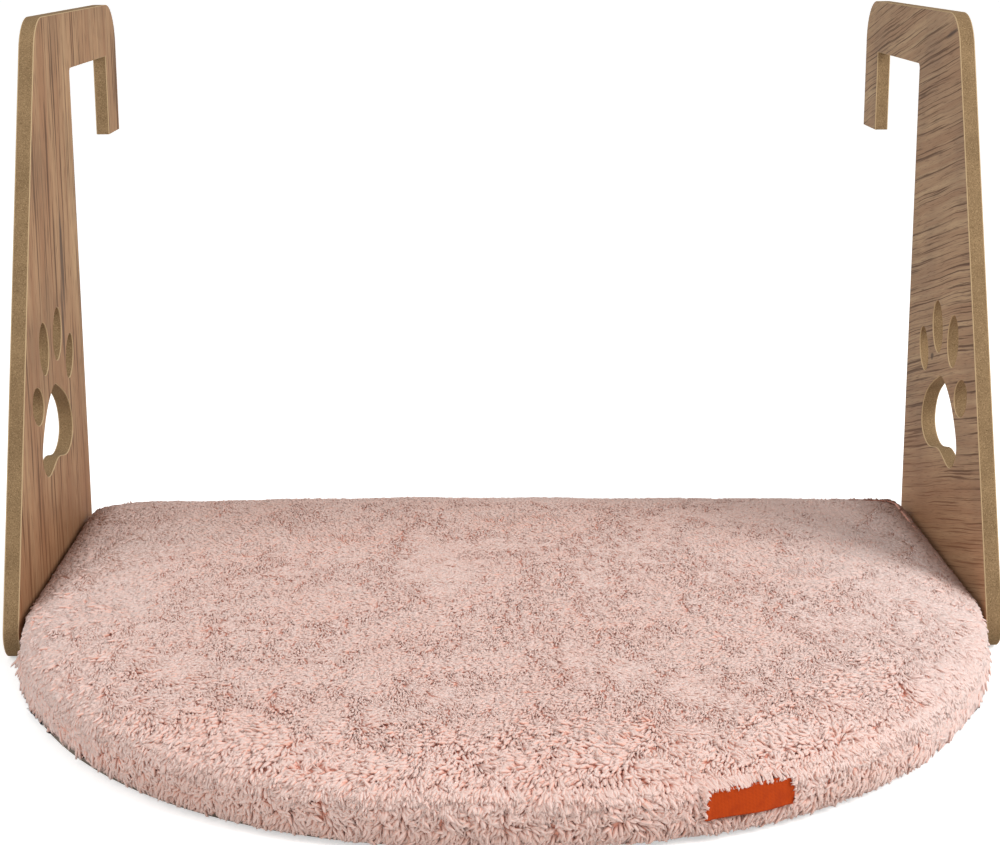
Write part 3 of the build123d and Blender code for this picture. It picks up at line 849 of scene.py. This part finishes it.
# Where plump locks grow: within 62 mm of the edge, from just behind the middle forwards, fewer at the sides
inside, _ = edge_distance(np.concatenate([fine_roots[0], plump_roots[0]]))
roots, normals = (np.concatenate(pair) for pair in zip(fine_roots, plump_roots))
is_plump = np.arange(len(roots)) >= len(fine_roots[0])
plumpness = smooth_step(-inside, -62 * mm, -8 * mm) * smooth_step(-roots[:, 1], -60 * mm, 110 * mm)
plumpness *= 1 - 0.75 * smooth_step(np.abs(roots[:, 0]), 120 * mm, 215 * mm)
blend = 0.5 + 0.3 * drifting(roots, clump_size, 1)[:, 0] + 0.2 * rng.normal(size=len(roots))
blend = np.clip(blend, 0.02, 0.98)
kept = np.where(is_plump, plumpness > blend, 0.35 * plumpness <= blend)
roots, normals, is_plump, plumpness = roots[kept], normals[kept], is_plump[kept], plumpness[kept]
count = len(roots)

inside, outward = edge_distance(roots)
patch = drifting(roots, patch_size, 4)
swirl = drifting(roots, swirl_size, 1) + drifting(roots, eddy_size, 1) + 0.6 * patch[:, :1]
free_way = turned(4.4 + swirl[:, 0] + 0.3 * rng.normal(size=count))
fall = smooth_step(-inside, -26 * mm, -4 * mm)
hanging = smooth_step(-roots[:, 2], -16 * mm, -7 * mm) * (inside < 14 * mm)
tangent = np.stack([-outward[:, 1], outward[:, 0]], 1)
drop = 0.25 + 1.2 * hanging
edge_way = np.concatenate([0.6 * outward - 0.35 * hanging[:, None] * tangent, -drop[:, None]], 1)
edge_way += 0.4 * patch[:, :3] + 0.2 * rng.normal(size=(count, 3))
comb = free_way * (1 - 0.75 * fall)[:, None] + edge_way * fall[:, None]
over_zip = (roots[:, 1] > tape_low[1] - 8 * mm) & (roots[:, 2] < tape_high[2] + 7 * mm)
comb[:, 2] = np.where(over_zip, np.abs(comb[:, 2]) + 0.8, comb[:, 2])
comb -= normals * (comb * normals).sum(1, keepdims=True)
comb /= np.linalg.norm(comb, axis=1, keepdims=True) + 1e-9

# Length and girth in millimetres: each kind has its own, and gains with what it stands near
nearness = smooth_step(-roots[:, 1], -150 * mm, 150 * mm)
grown = np.where(is_plump, 4.8 + 1.8 * hanging, 3.2 + 0.6 * nearness + 1.6 * plumpness + 1.5 * hanging)
length = grown * mm * (1 + 0.14 * patch[:, 3] + 0.12 * rng.normal(size=count))
length = np.clip(length, 2.2 * mm, 9.0 * mm)
fine_girth = 0.54 + 0.06 * nearness + 0.1 * plumpness
girth = np.where(is_plump, 0.72 + 0.26 * plumpness - 0.14 * hanging, fine_girth)
radius = girth * mm * rng.uniform(0.8, 1.25, count)
lean_start = np.radians(np.where(is_plump, 44, 60) + 16 * rng.random(count))
lean_end = np.radians(80 + 24 * rng.random(count) + 4 * hanging)
board_front = float(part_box("bracket_right")[0][1])
sides = smooth_step(np.abs(roots[:, 0]), 130 * mm, 230 * mm)
# Over the left and right the pile is longer, thicker and flatter. It is short where it falls over the
# edge, and long again in the fringe that hangs ahead of the boards
lean_start += np.radians(13 + 6 * fall) * sides
fringe = hanging * smooth_step(board_front - roots[:, 1], 5 * mm, 60 * mm)
length *= 1 + (0.3 - 0.42 * fall * (1 - fringe) + 0.45 * fringe) * sides
radius *= 1 + 0.35 * sides * ~is_plump
# Painted shade: brown for the shadow beside each board, less towards the back, and low on the front hem
shadow_by_board = smooth_step(np.abs(roots[:, 0]) - half_width, -26 * mm, -2 * mm)
shadow_by_board *= smooth_step(roots[:, 1] - board_front, -10 * mm, 25 * mm)
shade_below_edge = smooth_step(-roots[:, 2], -26 * mm, -8 * mm) * (inside < 14 * mm) * (1 - sides)
shade_towards_back = smooth_step(roots[:, 1], 40 * mm, 180 * mm)
painted_shade = np.clip(0.85 * shadow_by_board + 0.3 * shade_towards_back + 0.28 * shade_below_edge, 0, 1)
print("locks", count, "length", np.round(np.percentile(length, (5, 50, 95)) / mm, 1).tolist(), "mm")

# %% [markdown]
# ## Horns of matted fibre
#
# A lock rises from its root along the surface's normal and bends over the way it is combed. If its
# angle grows steadily, its path is an arc, whose height and reach are differences of sines and cosines.
# Two or three rings of points and a tip are enough at this size, with the widest one near the middle or
# past it, because matted fibre ends bluntly. One corner of each ring faces outwards and makes a soft
# ridge. Each lock also has its own small square of the map, so a baked picture can hold root and tip. A
# lock that would reach into a board, the deck, the floor or the zip's slot is held back or left out,
# and over the sewn label only a fringe hangs, pushed out in front of its face.
# %% Locks


# Each piece of pile stays below this, which also sets how many locks share a map
most_faces = 195000


class Lock:
    """The points, faces and map of one lock, which all locks of a kind share.

    Rings of a few corners stand along the lock, and a tip closes it. Its map is a strip for each side,
    with the root's cap below them."""

    def __init__(self, along, girth, sides):
        rings = len(along)
        self.girth = np.array(girth)
        self.sides = sides
        self.along = np.append(along, 1.0)
        self.turns = np.pi / 2 + np.arange(sides) * 2 * np.pi / sides
        self.points = rings * sides + 1
        self.outer = np.append(np.tile(np.maximum(np.sin(self.turns), 0), rings), 0.8)
        heights = np.linspace(0.12, 0.8, rings)
        faces, square = [], []
        for ring in range(rings):
            for k in range(sides):
                here, after = ring * sides + k, ring * sides + (k + 1) % sides
                left, right, low = k / sides, (k + 1) / sides, heights[ring]
                if ring + 1 == rings:
                    faces.append((here, after, rings * sides))
                    square.append([(left, low), (right, low), ((left + right) / 2, 1.0)])
                    continue
                high = heights[ring + 1]
                faces += [(here, after, after + sides), (here, after + sides, here + sides)]
                square.append([(left, low), (right, low), (right, high)])
                square.append([(left, low), (right, high), (left, high)])
        for k in range(sides - 2):
            faces.append((0, k + 2, k + 1))
            square.append([(k / 2 + 0.05, 0.0), (k / 2 + 0.45, 0.0), (k / 2 + 0.25, 0.09)])
        self.faces, self.square = np.array(faces), np.array(square)
        self.across = int(np.sqrt(most_faces / len(faces)))


fine_lock = Lock((0.0, 0.62), (0.8, 1.0), 3)
plump_lock = Lock((0.0, 0.45, 0.8), (0.8, 1.0, 0.7), 4)


def lock_points(kind, root, normal, way, length, radius, start, end, curl):
    """Points of each lock: rings along an arc, and the tip.

    At a share s of the lock its angle is start + s (end - start). The height is the sum of the angle's
    cosine up to there, and the reach the sum of its sine."""
    bend = (end - start)[:, None]
    angle = start[:, None] + bend * kind.along
    rise = (np.sin(angle) - np.sin(start)[:, None]) / bend
    reach = (np.cos(start)[:, None] - np.cos(angle)) / bend
    side = np.cross(normal, way)
    line = rise[..., None] * normal[:, None] + reach[..., None] * way[:, None]
    line = line + (curl[:, None] * kind.along**2)[..., None] * side[:, None]
    line = root[:, None] + length[:, None, None] * line
    heading = np.cos(angle)[..., None] * normal[:, None] + np.sin(angle)[..., None] * way[:, None]
    upper = np.cross(heading, side[:, None])[:, :-1]
    turn = kind.turns[None] + rng.uniform(-0.3, 0.3, (len(root), 1))
    circle = (
        np.cos(turn)[:, None, :, None] * side[:, None, None]
        + np.sin(turn)[:, None, :, None] * upper[:, :, None]
    )
    rings = line[:, :-1, None] + circle * (radius[:, None] * kind.girth)[..., None, None]
    return np.concatenate([rings.reshape(len(root), -1, 3), line[:, -1:]], 1)


# How far locks may stand out at the sides and behind, and how low they may hang
side_room = 0.8 * mm
back_room = 1.0 * mm
lowest_tip = 3.0 * mm


def held_in(points):
    """Points kept off the boards, the back, the floor and the deck."""
    beside_board = points[..., 1] > board_front - 6 * mm
    side_limit = np.where(beside_board, half_width, half_width + side_room)
    points[..., 0] = np.clip(points[..., 0], -side_limit, side_limit)
    points[..., 1] = np.minimum(points[..., 1], back_y + back_room)
    over_deck = outside_deck(points) < deck_room
    lowest = np.where(over_deck, deck_top + 0.4 * mm, lowest_tip)
    points[..., 2] = np.maximum(points[..., 2], lowest)
    return points


curl = 0.25 * rng.normal(size=count)
# Room that the zip, its slider and its pull need
slot_low = tape_low - np.array([0.5, 8.0, 0.2]) * mm
slot_high = tape_high + np.array([0.5, 12.0, 0.2]) * mm


label_low, label_high = (np.array(corner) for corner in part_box("cover_label"))
label_turn = np.radians(20.0 - 90.0)
label_width = 42.0 * mm


def label_offset(points):
    """Distance round the corner from the label's middle, and how far out from the corner's centre."""
    x, y = points[..., 0] - corner_x, points[..., 1] - corner_y
    reach = np.hypot(x, y)
    return (np.arctan2(y, x) - label_turn) * corner_radius, reach


def round_label(points, sides):
    """Pushes what hangs over the label's face out in front of it, each ring of a lock as a whole."""
    middles = points.copy()
    rings = points[:, :-1].reshape(len(points), -1, sides, 3)
    middles[:, :-1] = np.repeat(rings.mean(2), sides, axis=1)
    around, reach = label_offset(middles)
    beside = smooth_step(label_width / 2 + 1.0 * mm - np.abs(around), 0.0, 1.5 * mm)
    below_top = smooth_step(label_high[2] + 1.0 * mm - middles[..., 2], 0.0, 1.5 * mm)
    above_foot = smooth_step(middles[..., 2] - label_low[2], -0.5 * mm, 1.0 * mm)
    needed = np.maximum(corner_radius + 1.9 * mm - reach, 0) * beside * below_top * above_foot
    needed *= points[..., 1] < 0
    out = middles[..., :2] - np.array([corner_x, corner_y])
    points[..., :2] += needed[..., None] * out / reach[..., None]
    return points


def grow(kind, chosen):
    """Points of the chosen locks, and which they are.

    Left out are those in the zip's slot, those rooted under the label and those that reach far over its
    face."""
    around, _ = label_offset(roots[chosen])
    height = roots[chosen, 2]
    near_label = (np.abs(around) < label_width / 2 - 0.5 * mm) & (roots[chosen, 1] < 0)
    near_label &= height > label_low[2] - 0.2 * mm
    under_label = near_label & (height < label_high[2] + 0.4 * mm)
    reach = (height - label_high[2]) / 0.85 + np.clip(3.0 + 1.2 * patch[chosen, 1], 1.6, 5.0) * mm
    cut_off = np.minimum(length[chosen], np.maximum(reach, 2 * mm))
    long_enough = np.where(near_label, cut_off, length[chosen])
    below_zip = (roots[chosen, 1] > tape_low[1] - 4 * mm) & (height < tape_low[2])
    below_zip &= np.abs(roots[chosen, 0]) < tape_high[0] + 1 * mm
    wanted = ~(under_label | below_zip)
    chosen, long_enough = chosen[wanted], long_enough[wanted]
    shape = (number[chosen] for number in (radius, lean_start, lean_end, curl))
    points = lock_points(kind, roots[chosen], normals[chosen], comb[chosen], long_enough, *shape)
    points = held_in(round_label(points, kind.sides))
    around, _ = label_offset(points)
    on_label = (np.abs(around) < label_width / 2 - 2.0 * mm) & (points[..., 1] < 0)
    on_label &= (points[..., 2] > label_low[2] + 0.8 * mm) & (points[..., 2] < label_high[2] - 4.2 * mm)
    in_slot = ((points > slot_low) & (points < slot_high)).all(-1)
    clear = ~(on_label | in_slot).any(1)
    return points[clear], chosen[clear]


fine_pile = grow(fine_lock, np.flatnonzero(~is_plump))
plump_pile = grow(plump_lock, np.flatnonzero(is_plump))
print("grown", len(fine_pile[0]), "fine and", len(plump_pile[0]), "plump locks")

# %% [markdown]
# ## Colour of the pile
#
# The fibre is one pale pink. The colour that the eye sees comes from depth: the tips are paler, the ridge
# that faces out is whitened as a painted highlight, and light that reaches the roots has passed through
# pink on its way, so the gaps glow salmon. Four numbers go with each point: how far along its lock it is,
# how far it faces outwards, the lock's tone, which also holds painted light that pales the right and dims
# the left, and its painted shade. The finish goes from the root's tint to a paler one by the first two,
# shifts that by the tone and by slow clouds over the bed, darkens it by the painted shade, and draws fine
# strands along each lock in its own map. A little sheen stands for the fuzz that is too fine to model.
# %% Pile finish


lock_numbers = ("along", "outer", "tone_and_light", "painted_shade")


def pile_material(name, across, strand_count, root_tint):
    """Salmon root and flanks, paler tip, painted highlight on the ridge, painted shade and fine strands."""
    material, tree, shader, place = start_material(name)
    along, outer, tone_and_light, painted_shade = (
        node(tree, "Attribute", attribute_name=number).outputs["Fac"] for number in lock_numbers
    )
    clouds = noise(tree, place, 26.0, 3.0)
    late = between(tree, along, 0.0, 0.55, 0.15, 1.0)
    # Painted highlight: the outward ridge is whitened together with the paler tip
    paler_tip_and_highlight = maths(tree, "MULTIPLY", between(tree, outer, 0.0, 0.7), late)
    body = laid_over(tree, srgb(*root_tint), (234, 188, 170), along, 0.0, 0.9)
    body = mixed(tree, paler_tip_and_highlight, body, srgb(232, 208, 199))
    rosy = laid_over(tree, body, (226, 176, 160), clouds, 0.4, 0.7, 0.2)
    colour = laid_over(tree, rosy, (242, 223, 217), tone_and_light, 0.0, 1.2, 0.75)
    # Painted shade: the brown that the lock's shade number mixes in
    colour = mixed(tree, painted_shade, colour, srgb(156, 122, 106))
    square = node(tree, "UVMap", uv_map="OFBake").outputs[0]
    fibres = noise(tree, stretched(tree, square, (across * strand_count, across * 1.6, 1.0)), 1.0, 1.0)
    colour = laid_over(tree, colour, (228, 170, 152), fibres, 0.6, 0.3, 0.35)
    finish_shader(
        tree, shader, colour, 0.9, fibres, bump=0.5, depth=0.3 * mm,
        Sheen_Weight=0.15, Sheen_Roughness=0.5, Specular_IOR_Level=0.1,
    )
    return material


# Painted light: the tone is raised on the right, where the key lamp is, and lowered on the left
painted_light_side = smooth_step(roots[:, 0], 60 * mm, 220 * mm)
painted_light_side -= 0.3 * smooth_step(-roots[:, 0], 60 * mm, 220 * mm)
tone_and_light = 0.4 + 0.35 * sides + 0.35 * painted_light_side + 0.2 * patch[:, 0] + 0.2 * rng.normal(size=count)
tone_and_light = np.clip(tone_and_light, 0, 1.2)


def add_locks(name, kind, points, chosen, material):
    """One piece of pile from the chosen locks, with its four numbers and its map."""
    amount = len(chosen)
    faces = (np.arange(amount)[:, None, None] * kind.points + kind.faces[None]).reshape(-1, 3)
    piece = add_piece(name, points.reshape(-1, 3), faces, material, "cushion", "plush")
    mesh = piece.data
    along = np.append(np.repeat(kind.along[:-1], kind.sides), 1.0)
    values = (np.tile(along, amount), np.tile(kind.outer, amount))
    values += (np.repeat(tone_and_light[chosen], kind.points), np.repeat(painted_shade[chosen], kind.points))
    for number, value in zip(lock_numbers, values):
        mesh.attributes.new(number, "FLOAT", "POINT").data.foreach_set("value", value.astype(np.float32))
    cell = np.stack([np.arange(amount) % kind.across, np.arange(amount) // kind.across], 1)[:, None, None]
    uv = (cell + 0.06 + 0.88 * kind.square[None]) / kind.across
    layer = mesh.uv_layers.new(name="OFBake")
    layer.uv.foreach_set("vector", uv.astype(np.float32).ravel())
    return piece


def add_pile(name, kind, pile, strand_count, root_tint):
    """All locks of a kind, in as many pieces as their maps have room for, from left to right."""
    points, chosen = pile
    material = pile_material(name, kind.across, strand_count, root_tint)
    order = np.argsort(roots[chosen, 0], kind="stable")
    parts = np.array_split(order, int(np.ceil(len(chosen) / kind.across**2)))
    return [
        add_locks(f"{name}_{number:02d}", kind, points[part], chosen[part], material)
        for number, part in enumerate(parts, 1)
    ]


pile_pieces = add_pile("pile", fine_lock, fine_pile, 7.0, (250, 186, 162))
pile_pieces += add_pile("tufts", plump_lock, plump_pile, 16.0, (250, 170, 140))
print("pile", len(pile_pieces), "pieces,", sum(len(piece.data.polygons) for piece in pile_pieces), "faces")

# %% [markdown]
# ## The sewn label
#
# A short woven label is sewn to the front right corner, with its ends turned under. It follows the
# round corner and lifts a little at its lower edge. It is a thin closed shell: rings that run out along
# its face and back along its back, closed above and below. The weave is two crossed waves. Its front
# stays blank.
# %% Label

label_radius = corner_radius + 0.3 * mm
label_thickness = 0.8 * mm


def label_places(columns=60, rows=18):
    """Rings over the label's height: out along its face and back along its back.

    The face is bent round the corner, waves by half a millimetre and swells at its folded ends. Towards
    each end the thickness falls like a quarter circle, to a fifth."""
    across = np.linspace(-1, 1, columns)
    height = np.linspace(label_low[2], label_high[2], rows)[:, None]
    angle = label_turn + across * label_width / 2 / label_radius
    risen = (height - label_low[2]) / (label_high[2] - label_low[2])
    wave = 0.5 * mm * np.sin(across * 4.0 + 0.6) * (1 - risen)
    fold = 0.35 * mm * smooth_step(np.abs(across), 0.86, 0.93)
    edge = np.sqrt(1 - 0.96 * np.clip((np.abs(across) - 0.985) / 0.015, 0, 1) ** 2)
    outer = label_radius + wave + label_thickness * (0.5 + 0.5 * edge) + fold * edge
    inner = label_radius + wave + label_thickness * (0.5 - 0.5 * edge) + 0 * height
    reach = np.concatenate([outer + 0 * height, inner[:, ::-1]], 1)
    around = np.concatenate([angle, angle[::-1]])
    x = corner_x + reach * np.cos(around)
    y = corner_y + reach * np.sin(around)
    return np.stack([x, y, height + 0 * x], -1)


def woven_material(name, light, dark, scale, sheen=0.2):
    """Cloth of crossed threads: one wave up, one across, and a noise that makes the threads uneven."""
    material, tree, shader, place = start_material(name)
    values = {"Vector": place, "Scale": scale, "Distortion": 1.0}
    threads = [node(tree, "TexWave", values, bands_direction=way).outputs["Fac"] for way in ("X", "Z")]
    weave = maths(tree, "MAXIMUM", *threads)
    uneven = noise(tree, place, scale * 0.4, 2.0)
    colour = laid_over(tree, srgb(*dark), light, weave, 0.2, 0.9)
    colour = laid_over(tree, colour, dark, uneven, 0.45, 0.75, 0.5)
    plain = {"Sheen_Weight": sheen, "Specular_IOR_Level": 0.15}
    finish_shader(tree, shader, colour, 0.75, weave, bump=0.5, depth=0.15 * mm, **plain)
    return material


def closed_strip(rings):
    """Points and triangles of a skin over rings that go out and back, closed across at both ends."""
    rows, columns = rings.shape[:2]
    here = np.arange(columns // 2 - 1)
    cap = np.stack([here, here + 1, columns - 2 - here, columns - 1 - here], 1)
    quads = np.concatenate([grid_faces(rows, columns), cap[:, ::-1], cap + (rows - 1) * columns])
    return rings.reshape(-1, 3), in_triangles(quads)


places, triangles = closed_strip(label_places())
label_weave = woven_material("label_weave", (184, 66, 5), (146, 44, 4), 520.0, 0.0)
label = add_piece("blank_label", places, triangles, label_weave, "cushion", "label_cloth")
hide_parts("cover_label")

# %% [markdown]
# ## Below and inside
#
# When the cushion is lifted its underside shows: a stiff non-woven cloth with three strips of loop tape
# sewn to it. Inside lies the foam. They are plain forms, so each is a skin over rings: the outline for
# the cloth and the foam, and a rounded box for each strip.
# %% Underside, foam and loop tape


def cloth_material(name, light, dark, scale):
    """Pressed fibres: a fine fleck at two sizes."""
    material, tree, shader, place = start_material(name)
    flecks = noise(tree, stretched(tree, place, (1.0, 2.4, 1.0)), scale, 4.0, 0.7)
    clouds = noise(tree, place, scale / 14, 2.0)
    colour = laid_over(tree, srgb(*dark), light, flecks, 0.35, 0.65)
    colour = laid_over(tree, colour, dark, clouds, 0.4, 0.7, 0.35)
    finish_shader(tree, shader, colour, 0.9, flecks, bump=0.4, depth=0.3 * mm, Sheen_Weight=0.15)
    return material


def slab(name, inset, low, high, material, slot, node_name, round_over=0.5 * mm):
    """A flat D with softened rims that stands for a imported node."""
    shell, _ = d_outline(inset + np.array([round_over, 0.0, 0.0, round_over]))
    heights = np.array([low, low + round_over, high - round_over, high])
    inner = toward_middle(shell[0], np.array([0.97, 0.6, 0.3, 0.05]))
    rings = [lifted(inner, np.full(4, low)), lifted(shell, heights), lifted(inner[::-1], np.full(4, high))]
    places, triangles = closed_tube(np.concatenate(rings))
    piece = add_piece(name, places, triangles, material, "cushion", slot)
    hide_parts(node_name)
    return piece


panel_low, panel_high = (np.array(corner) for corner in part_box("underside_panel"))
non_woven = cloth_material("non_woven", (150, 138, 124), (116, 104, 92), 1400.0)
panel_inset = half_width - panel_high[0]
panel = slab(
    "underside_cloth", panel_inset, panel_low[2], panel_high[2], non_woven, "base_cloth", "underside_panel"
)

foam_low, foam_high = (np.array(corner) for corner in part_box("foam_pad"))
open_cell = cloth_material("open_cell_foam", (238, 226, 190), (206, 190, 148), 1100.0)
foam_rings = stuffed_rings(half_width - foam_high[0], cushion_high[2] - foam_high[2])
foam_rings[..., 2] = np.clip(foam_rings[..., 2], foam_low[2] + 0.2 * mm, foam_high[2] - 0.4 * mm)
foam_rings[..., :2] *= 0.985
places, triangles = closed_tube(foam_rings)
foam = add_piece("foam_core", places, triangles, open_cell, "cushion", "foam")
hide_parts("foam_pad")


def boxes_of(node_name):
    """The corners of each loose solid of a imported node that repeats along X."""
    place = mesh_points(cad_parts[node_name].data)
    ordered = np.unique(np.round(place[:, 0], 5))
    breaks = np.flatnonzero(np.diff(ordered) > 30 * mm)
    starts, ends = ordered[np.append(0, breaks + 1)], ordered[np.append(breaks, len(ordered) - 1)]
    low, high = place.min(0), place.max(0)
    return [((start, *low[1:]), (end, *high[1:])) for start, end in zip(starts, ends)]


def rounded_bar(low, high, edge, steps=24):
    """Rings along Y of a bar with rounded edges, closed at both ends."""
    low, high = np.array(low), np.array(high)
    centre, size = (low + high) / 2, (high - low) / 2
    turn = np.linspace(0, 2 * np.pi, 16, endpoint=False) + np.pi / 16
    corner = np.sign(np.stack([np.cos(turn), np.sin(turn)], 1)) * (size[[0, 2]] - edge)
    section = corner + edge * np.stack([np.cos(turn), np.sin(turn)], 1)
    y = np.linspace(high[1], low[1], steps)
    x = centre[0] + section[:, 0] + 0 * y[:, None]
    z = centre[2] + section[:, 1] + 0 * y[:, None]
    return np.stack([x, y[:, None] + 0 * x, z], -1)


def joined(meshes):
    """Several closed skins as one list of points and triangles."""
    starts = np.cumsum([0] + [len(places) for places, _ in meshes[:-1]])
    places = np.concatenate([places for places, _ in meshes])
    return places, np.concatenate([triangles + start for (_, triangles), start in zip(meshes, starts)])


loops = joined([closed_tube(rounded_bar(low, high, 0.3 * mm)) for low, high in boxes_of("loop_strips")])
loop_nylon = hook_material("loop_nylon", (60, 58, 58), (20, 20, 21), 900.0)
loop_tape = add_piece("loop_tape", *loops, loop_nylon, "cushion", "loop_tape")
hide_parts("loop_strips")

# %% [markdown]
# ## The zip
#
# The tapes are woven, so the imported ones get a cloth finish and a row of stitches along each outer
# edge. The chain is a closed coil: hundreds of small nylon loops, which reach over the middle from
# above and below by turns. One short rod stands for each loop, and one for each stitch. All copies are
# made at once, as one mesh.
# %% Zip


def rod(half, first, second, sides=5):
    """A closed rod about the origin: four rings from -half to half, spanned by two vectors, with thin
    ends."""
    along = np.array([-1.0, -0.7, 0.7, 1.0])[:, None, None]
    girth = np.array([0.5, 1.0, 1.0, 0.5])[:, None, None]
    turn = (np.arange(sides) * 2 * np.pi / sides)[None, :, None]
    circle = np.cos(turn) * np.array(first) + np.sin(turn) * np.array(second)
    return closed_tube(along * np.array(half) + girth * circle)


def copies(shape, centres):
    """The same closed skin at each of many centres."""
    places, triangles = shape
    starts = np.arange(len(centres))[:, None, None] * len(places)
    return (np.asarray(centres)[:, None] + places).reshape(-1, 3), (triangles + starts).reshape(-1, 3)


coil_low, coil_high = (np.array(corner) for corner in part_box("zip_coil"))
coil_middle = (coil_low + coil_high) / 2
tooth_pitch = 1.5 * mm
tooth_reach = 1.0 * mm
tooth_x = np.arange(coil_low[0] + tooth_pitch / 2, coil_high[0] - tooth_pitch / 4, tooth_pitch / 2)
tooth_side = np.where(np.arange(len(tooth_x)) % 2 == 0, 1.0, -1.0)
tooth_z = coil_middle[2] + tooth_side * ((coil_high[2] - coil_low[2]) / 2 - tooth_reach)
teeth = np.stack([tooth_x, 0 * tooth_x + coil_middle[1], tooth_z], 1)
tooth = rod((0, 0, tooth_reach), (0.34 * mm, 0, 0), (0, 0.75 * mm, 0))
# The cord inside the coil is a bar along Y with x and y exchanged, which turns its faces round
core = closed_tube(rounded_bar(
    (coil_middle[1] - 0.35 * mm, coil_low[0] + 0.3 * mm, coil_middle[2] - 0.45 * mm),
    (coil_middle[1] + 0.35 * mm, coil_high[0] - 0.3 * mm, coil_middle[2] + 0.45 * mm), 0.3 * mm,
))
core = (core[0][:, [1, 0, 2]], core[1][:, ::-1])


def nylon_material():
    """Pink nylon wire: smooth, a little glassy, with slow changes of tint."""
    material, tree, shader, place = start_material("zip_nylon")
    clouds = noise(tree, place, 500.0, 2.0)
    colour = laid_over(tree, srgb(216, 172, 160), (228, 190, 178), clouds, 0.35, 0.65)
    finish_shader(tree, shader, colour, 0.38, clouds, bump=0.1, depth=0.05 * mm)
    return material


chain_mesh = joined([copies(tooth, teeth), core])
chain = add_piece("zip_teeth", *chain_mesh, nylon_material(), "cushion", "zip_nylon")
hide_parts("zip_coil")
wear("zip_tapes", woven_material("zip_tape", (214, 168, 156), (176, 126, 114), 900.0))

stitch_pitch = 3.2 * mm
stitch_x = np.arange(tape_low[0] + 3 * mm, tape_high[0] - 2 * mm, stitch_pitch)
stitches = np.concatenate([
    np.stack([stitch_x, 0 * stitch_x + tape_high[1], 0 * stitch_x + z], 1)
    for z in (tape_low[2] + 0.9 * mm, tape_high[2] - 0.9 * mm)
])
stitch = rod((1.2 * mm, 0, 0), (0, 0.2 * mm, 0), (0, 0, 0.24 * mm))
thread = woven_material("thread", (232, 196, 184), (206, 160, 146), 2600.0)
add_piece("tape_stitches", *copies(stitch, stitches), thread, "cushion", "zip_cloth")
print("zip", len(teeth), "teeth,", len(stitches), "stitches")

# %% [markdown]
# ## Floor, backdrop and light
#
# The object stands on a pale floor in soft light. The world gives an even sky, which lights things at
# about half the brightness that it shows. A large lamp above, in front and to the right gives the pile
# its shape, and a weaker one at the left fills its shadows. The floor reads as white because its colour
# is white and because camera rays see a little light of its own, so the object keeps its shadow and no
# lamp has to be turned up.
# %% Stage


def looked_at(tree):
    """1 for camera, mirror and glass rays, and 0 for the rays that light the object."""
    rays = node(tree, "LightPath").outputs
    seen = maths(tree, "MAXIMUM", rays["Is Camera Ray"], rays["Is Glossy Ray"])
    return maths(tree, "MAXIMUM", seen, rays["Is Transmission Ray"])


def stage_material(name, glow):
    """White paint, with some light of its own for camera, mirror and glass rays only."""
    material, tree, shader, place = start_material(name)
    clouds = between(tree, noise(tree, place, 3.0), 0.3, 0.7)
    paint = mixed(tree, clouds, srgb(244, 244, 243), srgb(248, 248, 247))
    finish_shader(tree, shader, paint, 0.9)
    tree.links.new(maths(tree, "MULTIPLY", looked_at(tree), glow), shader.inputs["Emission Strength"])
    shader.inputs["Emission Color"].default_value = (1, 1, 1, 1)
    return material


floor_half = 30.0
floor_mesh = bpy.data.meshes.new("floor")
floor_corners = [(floor_half * x, floor_half * y, 0) for x, y in ((-1, -1), (1, -1), (1, 1), (-1, 1))]
floor_mesh.from_pydata(floor_corners, [], [(0, 1, 2, 3)])
floor_mesh.materials.append(stage_material("floor_paint", 0.5))
floor = bpy.data.objects.new("floor", floor_mesh)
bpy.context.collection.objects.link(floor)

world = bpy.data.worlds.new("sky")
bpy.context.scene.world = world
world.use_nodes = True
sky = world.node_tree
sky.nodes.clear()
sky_light = 0.53
strength = maths(sky, "ADD", maths(sky, "MULTIPLY", looked_at(sky), 1.0 - sky_light), sky_light)
background = node(sky, "Background", {"Color": (1, 1, 1, 1), "Strength": strength})
node(sky, "OutputWorld", {"Surface": background.outputs[0]})


def soft_lamp(name, place, aim, size, power):
    """A square lamp at place that faces aim."""
    lamp_data = bpy.data.lights.new(name, "AREA")
    lamp_data.size = size
    lamp_data.energy = power
    lamp = bpy.data.objects.new(name, lamp_data)
    way = Vector(aim) - Vector(place)
    lamp.matrix_world = Matrix.Translation(place) @ way.to_track_quat("-Z", "Y").to_matrix().to_4x4()
    bpy.context.collection.objects.link(lamp)


bed_middle = (0.0, 0.0, 0.08)
soft_lamp("key", (1.45, -0.84, 1.29), bed_middle, 1.0, 28.0)
soft_lamp("fill", (-1.18, -0.85, 1.08), bed_middle, 1.4, 8.6)
bpy.context.scene.view_settings.view_transform = "Standard"
